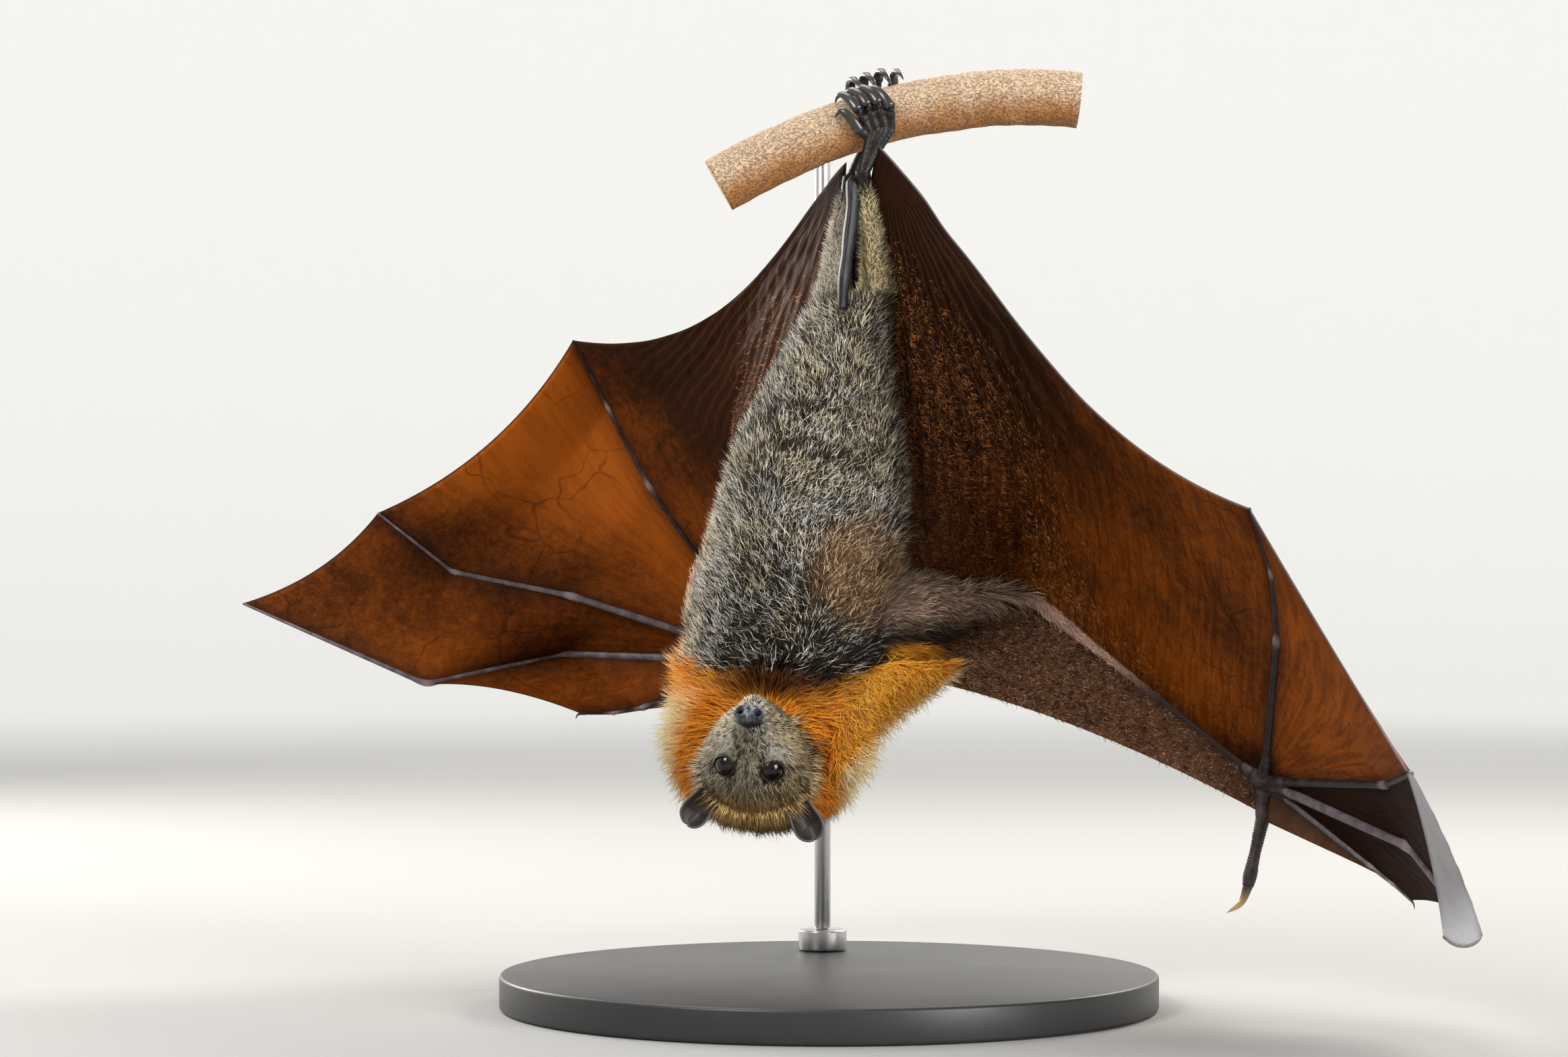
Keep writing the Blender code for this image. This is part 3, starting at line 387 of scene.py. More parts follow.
def relax(values, edges, rounds, share=0.5):
    """Each value drawn towards the mean of its neighbours, round after round."""
    table = values.reshape(len(values), -1).astype(float)
    count = np.maximum(np.bincount(edges.ravel(), minlength=len(table)), 1)[:, None]
    for _ in range(rounds):
        total = np.empty_like(table)
        for k in range(table.shape[1]):
            column = table[:, k]
            total[:, k] = np.bincount(edges[:, 0], column[edges[:, 1]], len(table))
            total[:, k] += np.bincount(edges[:, 1], column[edges[:, 0]], len(table))
        table += share * (total / count - table)
    return table.reshape(values.shape)


def write_values(mesh, name, values, kind="FLOAT"):
    made = mesh.attributes.new(name, kind, "POINT")
    field = "vector" if kind == "FLOAT_VECTOR" else "value"
    made.data.foreach_set(field, np.ascontiguousarray(values).ravel())


def read_values(mesh, name):
    return rows_of(mesh.attributes[name].data, "value", 1, np.float32).ravel()


def grid_faces(rows, columns):
    """The quads of a grid of points."""
    index = np.arange(rows * columns).reshape(rows, columns)
    return np.stack([index[:-1, :-1], index[:-1, 1:], index[1:, 1:], index[1:, :-1]], axis=2).reshape(-1, 4)


def ring_faces(rings, sides):
    """The quads between rings of points that close all round."""
    faces = []
    for low in range(0, rings * sides, sides):
        high = low + sides
        for j in range(sides):
            after = (j + 1) % sides
            faces.append((low + j, low + after, high + after, high + j))
    return faces


def tube(path, radii, sides, flat=1.0, up=None):
    """Points and faces of a round tube along a path, closed with a fan at each end."""
    path = [Vector(point) for point in path]
    side = Vector(up) if up is not None else (path[1] - path[0]).orthogonal()
    points = []
    for k, (centre, radius) in enumerate(zip(path, radii)):
        ahead = (path[min(k + 1, len(path) - 1)] - path[max(k - 1, 0)]).normalized()
        side = (side - ahead * side.dot(ahead)).normalized()
        across = ahead.cross(side)
        for j in range(sides):
            angle = 2 * math.pi * j / sides
            points.append(centre + side * (radius * flat * math.cos(angle)) + across * (radius * math.sin(angle)))
    faces = ring_faces(len(path) - 1, sides)
    for row, centre, turn in ((0, path[0], -1), (len(path) - 1, path[-1], 1)):
        hub = len(points)
        points.append(centre)
        for j in range(sides):
            pair = (row * sides + j, row * sides + (j + 1) % sides)
            faces.append((*pair, hub) if turn > 0 else (*pair[::-1], hub))
    return points, faces


def gather(parts):
    """Several (points, faces) as one."""
    points, faces = [], []
    for some, shapes in parts:
        shift = len(points)
        points += list(some)
        faces += [tuple(k + shift for k in face) for face in shapes]
    return points, faces


# Wing joints


def wing_joints(side):
    """Every joint of one wing, worked out from the bone lengths and the pose."""
    pose = POSE[side]
    shoulder = Vector(pose["shoulder"])
    elbow = shoulder + unit(pose["humerus"]) * HUMERUS
    wrist = elbow + unit(pose["forearm"]) * FOREARM
    joints = {"shoulder": shoulder, "elbow": elbow, "wrist": wrist}
    for digit in DIGITS:
        chain = [wrist]
        for direction, length in zip(pose[digit], (METACARPAL[digit], *PHALANGES[digit])):
            chain.append(chain[-1] + unit(direction) * length)
        joints[digit] = chain
    chain = [wrist + unit(pose["thumb"][0]) * 0.004]
    for direction, length in zip(pose["thumb"], THUMB):
        chain.append(chain[-1] + unit(direction) * length)
    joints["thumb"] = chain
    claw = [chain[-1]]
    for direction in pose["thumb_claw"]:
        claw.append(claw[-1] + unit(direction) * THUMB_CLAW / 2)
    joints["thumb_claw"] = claw
    return joints


JOINTS = {side: wing_joints(side) for side in SIDES}


def elbow_points(joints, shares):
    """Points on the rounded elbow. The share goes from 0 to 1."""
    corner = joints["elbow"]
    start = corner + (joints["shoulder"] - corner).normalized() * ELBOW_BEND
    end = corner + (joints["wrist"] - corner).normalized() * ELBOW_BEND
    return [start * (1 - s) ** 2 + corner * 2 * s * (1 - s) + end * s**2 for s in shares]


def bone_samples(side):
    """Points all along one wing's bones."""
    joints = JOINTS[side]
    lines = [[joints["shoulder"], joints["elbow"], joints["wrist"]], *(joints[digit] for digit in DIGITS)]
    return np.concatenate([resample(line, 90) for line in lines])


def nearness(points, samples, reach):
    """1 on the sampled lines, falling to 0 away from them."""
    at_once = 4000
    nearest = np.full(len(points), 1e9)
    for start in range(0, len(points), at_once):
        block = slice(start, start + at_once)
        nearest[block] = np.linalg.norm(points[block, None] - samples[None], axis=2).min(axis=1)
    return np.exp(-((nearest / reach) ** 1.2))


# Head frame


def head_axes():
    """The head's own directions: forward along the muzzle, to the bat's right, and up to the crown."""
    turn = (
        Matrix.Rotation(HEAD_YAW, 3, "Z")
        @ Matrix.Rotation(-HEAD_PITCH, 3, "X")
        @ Matrix.Rotation(HEAD_ROLL, 3, "Y")
    )
    return turn @ Vector((0, -1, 0)), turn @ Vector((1, 0, 0)), turn @ Vector((0, 0, -1))


FORWARD, ACROSS, CROWN = head_axes()


def head_point(back, across, high):
    return NOSE_TIP - FORWARD * back + ACROSS * across + CROWN * high


def ear_place(place, side):
    back, across, high = place
    return head_point(back, across * SIGN[side], high)


def in_head(points):
    """How far back, across and high in the head each point lies."""
    away = points - np.array(NOSE_TIP)
    return -away @ np.array(FORWARD), away @ np.array(ACROSS), away @ np.array(CROWN)


def eye_centre(side):
    low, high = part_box(f"eye_{side}")
    return (Vector(low) + Vector(high)) / 2


def eye_corner(side):
    """From the eye to its inner corner, across the line of sight."""
    inner = ACROSS * (-0.84 * SIGN[side]) + FORWARD * 0.54
    look = eye_look(side)
    return (inner - look * inner.dot(look)).normalized()


def eye_look(side):
    """The direction of sight."""
    return (CROWN * 0.70 + ACROSS * 0.42 * SIGN[side] + FORWARD * 0.58).normalized()


# Materials


class Signal:
    """A socket of a material. Sums on it add the Math nodes that work them out."""

    def __init__(self, tree, socket=None):
        self.tree = tree
        self.socket = socket

    def node(self, kind, settings=None, values=None, output=0):
        """Adds a node of any type, sets it up and gives one of its outputs."""
        made = self.tree.nodes.new(kind)
        for name, value in (settings or {}).items():
            setattr(made, name, value)
        for name, value in (values or {}).items():
            target = made.inputs[name]
            if isinstance(value, Signal):
                self.tree.links.new(value.socket, target)
            else:
                target.default_value = value
        return Signal(self.tree, made.outputs[output])

    def sum(self, operation, *values):
        return self.node("ShaderNodeMath", {"operation": operation}, dict(enumerate(values)))

    def __add__(self, other):
        return self.sum("ADD", self, other)

    def __radd__(self, other):
        return self.sum("ADD", other, self)

    def __sub__(self, other):
        return self.sum("SUBTRACT", self, other)

    def __rsub__(self, other):
        return self.sum("SUBTRACT", other, self)

    def __mul__(self, other):
        return self.sum("MULTIPLY", self, other)

    def __pow__(self, other):
        return self.sum("POWER", self, other)

    def between(self, low, high, start=0.0, end=1.0):
        """Start below low, end above high, and smooth between."""
        return self.node(
            "ShaderNodeMapRange",
            {"interpolation_type": "SMOOTHSTEP"},
            {"Value": self, "From Min": low, "From Max": high, "To Min": start, "To Max": end},
        )

    def larger(self, other):
        return self.sum("MAXIMUM", self, other)

    def attribute(self, name):
        return self.node("ShaderNodeAttribute", {"attribute_name": name}, output="Fac")

    def place(self):
        return self.node("ShaderNodeTexCoord", output="Object")

    def stretched(self, *scale):
        """These coordinates scaled by three numbers."""
        return self.node("ShaderNodeMapping", {}, {"Vector": self, "Scale": scale})

    def reach(self, other):
        """The distance that two sums at right angles make."""
        return (self**2.0 + other**2.0) ** 0.5

    def part(self, axis):
        return self.node("ShaderNodeSeparateXYZ", {}, {"Vector": self}, output=axis)

    def grain(self, size, detail=3.0, roughness=0.55, distortion=0.0):
        """Noise on these coordinates, with bumps of about this size in metres."""
        return self.node(
            "ShaderNodeTexNoise",
            {},
            {"Vector": self, "Scale": 1 / size, "Detail": detail, "Roughness": roughness, "Distortion": distortion},
        )

    def cells(self, size):
        """How far these coordinates lie from the borders of cells of about this size."""
        settings = {"feature": "DISTANCE_TO_EDGE"}
        return self.node("ShaderNodeTexVoronoi", settings, {"Vector": self, "Scale": 1 / size})

    def mixed(self, first, second, share):
        """A colour between two colours."""
        return self.node(
            "ShaderNodeMix", {"data_type": "RGBA"}, {0: share, 6: rgba(first), 7: rgba(second)}, output=2
        )

    def bump(self, height, distance, strength=1.0):
        return self.node("ShaderNodeBump", {}, {"Height": height, "Distance": distance, "Strength": strength})


def rgba(colour):
    return colour if isinstance(colour, Signal) else (*colour[:3], 1.0)


def new_material(name):
    """An empty Principled material: the material, a Signal to build on, and a function that sets sockets."""
    made = bpy.data.materials.new(name)
    made.use_nodes = True
    shader = made.node_tree.nodes["Principled BSDF"]

    def give(**values):
        for label, value in values.items():
            target = shader.inputs[label.replace("_", " ")]
            if isinstance(value, Signal):
                made.node_tree.links.new(value.socket, target)
            elif isinstance(value, tuple):
                target.default_value = (*value[:3], 1.0)
            else:
                target.default_value = value

    return made, Signal(made.node_tree), give


def coat_colour(sig, tip, shade):
    """The coat's markings, the same for the skin (tip 0) and the tufts."""
    sizes = bpy.context.scene.flying_fox
    place = sig.place()
    x, z = place.part("X"), place.part("Z")
    mantle, face = sig.attribute("mantle"), sig.attribute("face")
    ragged = place.grain(0.012, 4.0) - 0.5
    broad = place.grain(0.030, 2.0)
    fine = place.grain(0.0035, 2.0)
    # Grey body: blackish roots and grizzled cream tips, sparse on the chest, thick on the belly.
    few = z.between(0.160, 0.250, 0.90, 0.70) - x.between(-0.040, -0.066) * 0.26
    # Painted shade: a crease across the belly and two spots get fewer pale tips, where the fur parts and shade
    # falls.
    line = z + x * 0.22 + ragged * 0.012
    crease_shade = line.between(0.2545, 0.2590) * line.between(0.2690, 0.2610)
    crease_shade = crease_shade * x.between(-0.031, -0.020) * x.between(0.022, 0.004)
    for along, high, size in ((-0.0292, 0.2815, 0.0100), (-0.0134, 0.2800, 0.0080)):
        spot = (x - along).reach(z - high)
        crease_shade = crease_shade.larger((spot + ragged * 0.012).between(size, size * 0.2) * 0.8)
    few = few + crease_shade * 0.17
    pale = (shade + ragged * 0.35).between(few - 0.06, few + 0.06)
    cream = sig.mixed(tuple(sizes.coat_cream), (0.95, 0.92, 0.86), broad.between(0.40, 0.62))
    tawny = (x - 0.016).reach(z - 0.204)
    warm = (tawny + ragged * 0.024).between(0.034, 0.012)
    cream = sig.mixed(cream, (0.90, 0.62, 0.34), warm * 0.85)
    dull = sig.mixed((0.014, 0.011, 0.008), tuple(sizes.coat_grey), z.between(0.175, 0.270))
    dull = sig.mixed(dull, (0.16, 0.085, 0.04), warm)
    body_root = sig.mixed((0.008, 0.006, 0.004), (0.018, 0.014, 0.009), z.between(0.18, 0.30))
    body = sig.mixed(body_root, sig.mixed(dull, cream, pale), tip.between(0.34, 0.70))
    # Mantle: dark red-brown at its edge and roots, orange, then straw at the rim of the ruff. The straw round the
    # ruff's outline is partly pale hair tips and partly painted rim light; the lower fringe is pale long hair.
    out = (x + 0.034).reach(z - 0.117) - x.between(-0.034, 0.010) * 0.013
    rim = (out + ragged * 0.010).between(0.035, 0.048) * z.between(0.156, 0.134) * x.between(0.030, 0.012)
    fringe = (z - x * 0.82 + ragged * 0.012).between(0.1130, 0.1030) * x.between(0.002, 0.012)
    rim = rim * (1 - x.between(-0.002, 0.010) * z.between(0.116, 0.128))
    rim = rim.larger(fringe * (shade * 0.9 + 0.35))
    # Painted glow: the ruff is made more golden on the bat's right side, partly its own gold and partly light
    # glowing through it.
    golden = shade * 0.7 + x.between(-0.005, 0.020) * 0.4
    orange = sig.mixed(tuple(sizes.mantle_orange), tuple(sizes.mantle_gold), golden)
    orange = sig.mixed(orange, (0.50, 0.105, 0.009), shade.between(0.26, 0.05))
    pale_ends = rim * tip.between(0.10, 0.60) + tip.between(0.70, 1.0) * shade.between(0.55, 0.80) * 0.6
    straw = sig.mixed(orange, tuple(sizes.mantle_straw), pale_ends)
    under = sig.mixed((0.85, 0.19, 0.010), straw, tip.between(0.0, 0.25))
    middle = (x + 0.022).sum("ABSOLUTE", x + 0.022).between(0.012, 0.044)
    throat = (z + ragged * 0.010).between(0.140, 0.154) * (1 - middle)
    ruff = sig.mixed(under, (0.045, 0.010, 0.005), throat * 0.92)
    # Face: fine black and cream pepper, silver beside the muzzle, golden on the crown.
    silver = sig.attribute("silver")
    crown = z.between(0.113, 0.092)
    # On the low neck the silver mark is negative, so fewer hairs there have pale tips: painted shade below the head.
    pepper = (shade + (fine - 0.5) * 0.3 + silver * 0.24 + crown * 0.10).between(0.44, 0.53)
    face_light = sig.mixed((1.0, 0.90, 0.66), (1.0, 0.70, 0.28), crown)
    face_light = sig.mixed(face_light, (1.0, 0.74, 0.36), x.between(-0.034, -0.012) * 0.6)
    face_light = sig.mixed(face_light, (1.0, 0.96, 0.83), silver)
    face_dark = sig.mixed((0.026, 0.020, 0.014), (0.24, 0.12, 0.034), crown)
    face_root = sig.mixed((0.020, 0.015, 0.010), (0.22, 0.115, 0.036), crown)
    face_all = sig.mixed(face_root, sig.mixed(face_dark, face_light, pepper), tip.between(0.08, 0.50))
    # Where the silver mark is negative, low on the neck, the hair is painted darker golden brown: painted shade
    # below the head.
    face_all = sig.mixed(face_all, (0.15, 0.080, 0.022), silver * -0.65)
    # Limbs: pinkish grey over a dark underside, with a golden right shin and a silver left one.
    shin = z.between(0.315, 0.335)
    shin_light = sig.mixed((0.80, 0.77, 0.66), (1.0, 0.84, 0.45), x.between(0.006, 0.010))
    limb_light = sig.mixed((0.96, 0.80, 0.58), shin_light, shin)
    limb_dull = sig.mixed((0.50, 0.36, 0.28), (0.26, 0.21, 0.15), shin)
    limb_tip = sig.mixed(limb_dull, limb_light, shade.between(0.30, 0.70))
    limb_root = sig.mixed((0.40, 0.23, 0.18), (0.10, 0.08, 0.06), shin)
    limb_all = sig.mixed(limb_root, limb_tip, tip.between(0.10, 0.65))
    beneath = (z + ragged * 0.012).between(0.188, 0.174) * x.between(0.092, 0.072)
    limb_dark = sig.mixed((0.010, 0.007, 0.005), (0.06, 0.045, 0.03), shade)
    limb_all = sig.mixed(limb_all, limb_dark, beneath * 0.95)
    # Down on the wings: dark brown near the flank, foxy further out, and a pinkish grizzle before the arm.
    foxy = (tawny + ragged * 0.02).between(0.030, 0.075)
    down_tip = sig.mixed((0.46, 0.27, 0.13), (1.0, 0.40, 0.11), foxy)
    end = tip.between(0.0, 0.5)
    down = sig.mixed((0.035, 0.012, 0.004), down_tip, shade.between(0.30, 0.65) * end)
    grizzle = sig.mixed((0.040, 0.022, 0.014), (0.92, 0.60, 0.40), shade.between(0.40, 0.75) * end)
    before_arm = sig.attribute("grizzle")
    down = sig.mixed(down, grizzle, before_arm)
    colour = sig.mixed(body, limb_all, sig.attribute("limb"))
    colour = sig.mixed(colour, down, sig.attribute("down").larger(before_arm))
    colour = sig.mixed(colour, ruff, (mantle + ragged * 0.55).between(0.38, 0.62))
    colour = sig.mixed(colour, face_all, (face + ragged * 0.3).between(0.35, 0.65))
    return sig.mixed(colour, (0.012, 0.010, 0.010), sig.attribute("dark"))


def coat_material():
    """Hair: root to tip colours, a faint sheen."""
    found = bpy.data.materials.get("coat")
    if found:
        return found
    made, sig, give = new_material("coat")
    give(Base_Color=coat_colour(sig, sig.attribute("tip"), sig.attribute("shade")))
    give(Roughness=0.60, Specular_IOR_Level=0.16)
    return made


def skin_material():
    made, sig, give = new_material("skin_under_coat")
    place = sig.place()
    face = sig.attribute("face")
    quiet = place.grain(0.004, 4.0) * (1 - face) + place.grain(0.0012, 3.0) * face
    give(Base_Color=coat_colour(sig, quiet * (face * 0.35 + 0.22), quiet))
    give(Roughness=0.80, Specular_IOR_Level=0.10)
    give(Normal=sig.bump(place.grain(0.0012, 2.0), 0.0004, 0.6))
    return made


def bare_material(name, dark, light, sheen, wrinkle=0.0007, shine=0.4):
    """Bare blackish skin with fine creases."""
    made, sig, give = new_material(name)
    place = sig.place()
    patches = place.grain(0.006, 4.0)
    creases = place.grain(wrinkle, 3.0, 0.6)
    skin = sig.mixed(dark, light, patches.between(0.35, 0.75))
    give(Base_Color=sig.mixed(skin, (0.42, 0.34, 0.35), sig.attribute("knob") * 0.7))
    give(Roughness=sheen + patches * 0.18, Specular_IOR_Level=shine)
    give(Normal=sig.bump(creases, 0.00025, 0.55))
    return made


def ear_material():
    """Blackish skin with a paler rolled rim."""
    made, sig, give = new_material("ear_skin")
    place = sig.place()
    skin = sig.mixed((0.008, 0.006, 0.006), (0.034, 0.024, 0.022), place.grain(0.003, 4.0))
    give(Base_Color=sig.mixed(skin, (0.12, 0.11, 0.12), sig.attribute("rim") * 0.7), Roughness=0.50)
    give(Normal=sig.bump(place.grain(0.0006, 3.0), 0.0002, 0.5))
    return made


def nose_material():
    """Damp blue-grey skin, black inside the nostrils."""
    made, sig, give = new_material("nose_skin")
    place = sig.place()
    cells = place.cells(0.0007).between(0.0, 0.20)
    skin = sig.mixed((0.020, 0.020, 0.024), (0.20, 0.21, 0.27), place.grain(0.0018, 3.0).between(0.35, 0.65))
    skin = sig.mixed(skin, (0.008, 0.008, 0.009), place.part("Z").between(0.1385, 0.1362) * 0.9)
    give(Base_Color=sig.mixed(skin, (0.004, 0.004, 0.005), sig.attribute("pit")))
    give(Roughness=0.24 + cells * 0.10, Coat_Weight=0.3, Normal=sig.bump(cells, 0.00012, 0.5))
    return made


def membrane_material(name, dark, light, streaks):
    """Thin wing skin: warm brown with dark veins. The warm tone is partly the skin's own and partly painted glow of
    light through the thin skin; there is painted shade beside the bones and in the creases along the wing, painted
    highlights on the pleat crests and a painted sheen on the folded tip.
    """
    made, sig, give = new_material(name)
    place = sig.place()
    sheet = sig.node("ShaderNodeUVMap", {"uv_map": "Sheet"})
    near = sig.attribute("near_bone")
    warm = sig.attribute("warm")
    blotch = place.grain(0.030, 4.0, 0.6, 0.4)
    mottle = place.grain(0.0045, 4.0, 0.6)
    swirl = sheet.stretched(1.0, 0.10, 1.0).grain(0.0030, 3.0, 0.5, 0.6)
    lines = swirl.between(0.40, 0.66)
    felt = sheet.stretched(1.0, 0.4, 1.0).grain(0.0010, 3.0, 0.6)
    # The warm mark is partly the skin's own tone and partly painted glow of light shining through the skin.
    uneven = warm + (blotch - 0.5) * 0.42 + (mottle - 0.5) * 0.42 + (felt - 0.5) * 0.35
    base = sig.mixed(dark, light, uneven.between(0.05, 1.0))
    noise = sig.node("ShaderNodeTexNoise", {}, {"Vector": place, "Scale": 40.0}, output="Color")
    drift = sig.node("ShaderNodeVectorMath", {"operation": "SCALE"}, {0: noise, "Scale": 0.020})
    warped = sig.node("ShaderNodeVectorMath", {"operation": "ADD"}, {0: place, 1: drift})
    web = warped.cells(0.042).between(0.0, 0.018, 1.0, 0.0)
    web = web * place.grain(0.05, 1.0).between(0.42, 0.62)
    # Painted shade: darker along the creases that run along the wing.
    shaded = sig.mixed(base, tuple(0.32 * value for value in dark), lines * streaks)
    shaded = sig.mixed(shaded, tuple(0.30 * value for value in dark), web * 0.40)
    wave = sig.attribute("fan") * 150 + place.grain(0.022, 2.0) * 9
    pleat = wave.sum("SINE", wave).between(-0.1, 0.95) * sig.attribute("pleat")
    # Painted highlight: the crests of the pleats by the ankle are painted lighter.
    shaded = sig.mixed(shaded, (0.085, 0.034, 0.015), pleat * 0.36)
    # Painted shade beside the bones.
    shaded = sig.mixed(shaded, (0.010, 0.005, 0.004), near * 0.80)
    # The free edges are painted pale; the sheen band is a painted sheen on the folded wing tip, paler towards its
    # lower end.
    edge = sig.attribute("free_edge").between(0.70, 0.88)
    sheen_band = sig.attribute("sheen_band")
    spoon = place.part("Z").between(0.078, 0.048) * (mottle * 0.5 + 0.5)
    pale = sig.mixed((0.14, 0.135, 0.145), (0.44, 0.46, 0.49), spoon)
    pale = sig.mixed(pale, (0.040, 0.024, 0.018), place.part("X").between(-0.02, -0.05))
    shaded = sig.mixed(shaded, pale, edge * 0.8 + sheen_band)
    give(Base_Color=shaded, Roughness=0.60 + mottle * 0.12 - sheen_band * 0.2, Specular_IOR_Level=0.07)
    relief = lines * streaks + mottle * 0.35 + felt * 0.2 - web * 0.5 + pleat
    give(Normal=sig.bump(relief, 0.00045, 0.75))
    return made


def claw_material():
    made, sig, give = new_material("claw_horn")
    place = sig.place()
    tip = sig.attribute("tip")
    streaks = place.stretched(1.0, 1.0, 0.2).grain(0.0012, 2.0)
    horn = sig.mixed((0.010, 0.009, 0.009), (0.050, 0.046, 0.044), streaks)
    give(Base_Color=sig.mixed(horn, (0.60, 0.38, 0.16), (tip * sig.attribute("golden")).between(0.34, 0.80)))
    give(Roughness=0.24 + streaks * 0.10, Coat_Weight=0.4, Coat_Roughness=0.12)
    return made


def eye_material():
    """A wet brown eye, its iris and pupil painted by the distance from the axis of sight."""
    made, sig, give = new_material("eye_wet")
    ring = sig.attribute("sight")
    rays = sig.attribute("spoke").grain(0.35, 3.0)
    iris = sig.mixed((0.006, 0.003, 0.002), (0.020, 0.008, 0.004), rays)
    colour = sig.mixed(iris, (0.002, 0.002, 0.002), ring.between(0.50, 0.42))
    colour = sig.mixed(colour, (0.006, 0.004, 0.004), ring.between(0.80, 0.92))
    give(Base_Color=colour, Roughness=0.05, Specular_IOR_Level=0.45)
    return made


def bark_material():
    """Smooth pale bark with brown flecks, darker and warmer underneath: partly the bark's own tone and partly
    painted shade under the branch.
    """
    made, sig, give = new_material("pale_bark")
    place = sig.place()
    flecks = place.stretched(0.7, 1.0, 1.0).grain(0.00085, 4.0, 0.70, 0.5).between(0.43, 0.60)
    broad = place.grain(0.016, 4.0)
    under = sig.attribute("under")
    pale = sig.mixed((0.72, 0.56, 0.40), (0.62, 0.43, 0.26), broad)
    # The under mark: partly the bark's own warmer tone, partly painted shade on the underside.
    pale = sig.mixed(pale, (0.50, 0.215, 0.052), (under + (broad - 0.5) * 0.7).between(0.25, 1.15))
    dark = sig.mixed((0.19, 0.115, 0.070), (0.14, 0.055, 0.020), under)
    give(Base_Color=sig.mixed(pale, dark, flecks * 0.85), Roughness=0.78)
    give(Normal=sig.bump(flecks * -0.5 + place.grain(0.0007, 3.0) * 0.5, 0.0004, 0.8))
    return made


def cut_wood_material():
    made, sig, give = new_material("cut_wood")
    place = sig.place()
    rings = sig.attribute("ring")
    wave = (rings * 60 + place.grain(0.01) * 3).sum("SINE", rings * 60 + place.grain(0.01) * 3)
    give(Base_Color=sig.mixed((0.62, 0.44, 0.26), (0.42, 0.26, 0.13), wave.between(-0.6, 1.0)), Roughness=0.7)
    give(Normal=sig.bump(wave, 0.0002, 0.4))
    return made


def board_material():
    """Black satin paint on a turned board."""
    made, sig, give = new_material("black_satin_paint")
    place = sig.place()
    orange_peel = place.grain(0.0009, 2.0)
    soft = place.grain(0.05, 3.0)
    give(Base_Color=sig.mixed((0.018, 0.018, 0.019), (0.028, 0.028, 0.030), soft))
    give(Roughness=0.34 + soft * 0.12, Normal=sig.bump(orange_peel, 0.00006, 0.4))
    return made


def steel_material():
    made, sig, give = new_material("brushed_steel")
    place = sig.place()
    brush = place.stretched(1.0, 1.0, 0.03).grain(0.0004, 2.0)
    give(Base_Color=sig.mixed((0.48, 0.48, 0.49), (0.62, 0.62, 0.63), brush), Metallic=1.0)
    give(Roughness=0.26 + brush * 0.14, Normal=sig.bump(brush, 0.00003, 0.3))
    return made


# Skin


def build_skin():
    """One skin over the flesh nodes, drawn in by the coat's depth, with the lie of the hair on it."""
    skin = copy_of_nodes("skin", [*FLESH, "eye_left", "eye_right"])
    apply_step(skin, "REMESH", mode="VOXEL", voxel_size=FLESH_VOXEL)
    mesh = skin.data
    refine_face(skin)
    points, edges = points_of(mesh), edges_of(mesh)
    owner = owners(points)
    depth, length, lift = (np.array([row[k] for row in FLESH.values()])[owner] for k in range(3))
    bare = bare_share(points)
    crown = ease(in_head(points)[0], 0.022, 0.046) * (owner == 0)
    depth = np.where(owner == 0, 0.0013 + 0.0052 * crown, depth) * (1 - 0.7 * near_eyes(points, 0.0120))
    length = np.where(owner == 0, 0.0056 + 0.0046 * crown, length)
    elbow = np.linalg.norm(points - np.array(JOINTS["right"]["elbow"]), axis=1)
    length = length * (1 + 0.9 * np.exp(-((elbow / 0.035) ** 2)) * (points[:, 0] > 0.03))
    nape = (1 - ease(points[:, 2], 0.088, 0.104)) * (owner == 1)
    depth = depth - 0.0042 * nape
    length = length - 0.0065 * nape
    lift = lift - 14 * nape
    depth = relax(depth * (1 - 0.6 * bare), edges, 14)
    points = taubin(points, edges, 10)
    soft = ease(from_nose(points), 0.040, 0.062)[:, None]
    points = points + soft * (relax(points, edges, 30) - points)
    move_points(mesh, points)
    points = points - normals_of(mesh) * depth[:, None]
    points = taubin(points, edges, 8)
    points = carve_face(points)
    move_points(mesh, points)
    lie = relax(lie_of_hair(points, owner), edges, 12)
    normals = normals_of(mesh)
    lie = unit_rows(lie - normals * (lie * normals).sum(axis=1, keepdims=True))
    swirl = (0.75 * soft_noise(points, 0.026, 2) * (owner > 1))[:, None]
    lie = lie * np.cos(swirl) + np.cross(normals, lie) * np.sin(swirl)
    length = relax(length, edges, 10) * (1 - 0.74 * near_eyes(points, 0.0112)) * short_muzzle(points)
    write_values(mesh, "lie", lie, "FLOAT_VECTOR")
    write_values(mesh, "hair_length", length)
    write_values(mesh, "hair_lift", relax(lift, edges, 10))
    write_values(mesh, "hair_density", 1 - bare)
    write_values(mesh, "owner", owner.astype(float))
    for name, values in markings(points, owner, edges).items():
        write_values(mesh, name, values)
    shade_smooth(mesh)
    return finish_piece(skin, skin_material(), FLESH)


def refine_face(skin):
    """One more cut across the faces of the muzzle, the lids and the cheeks."""
    mesh = skin.data
    back, _, high = in_head(points_of(mesh))
    chosen = (back < 0.036) & (high > -0.022)
    only(skin)
    mesh.vertices.foreach_set("select", chosen)
    mesh.edges.foreach_set("select", chosen[edges_of(mesh)].all(axis=1))
    for face in mesh.polygons:
        face.select = all(chosen[k] for k in face.vertices)
    bpy.ops.object.mode_set(mode="EDIT")
    bpy.ops.mesh.subdivide(number_cuts=1)
    bpy.ops.object.mode_set(mode="OBJECT")


def is_one_of(*starts):
    """A test for the owners whose names begin so."""
    numbers = [k for k, name in enumerate(FLESH) if name.startswith(starts)]
    return lambda owner: np.isin(owner, numbers)


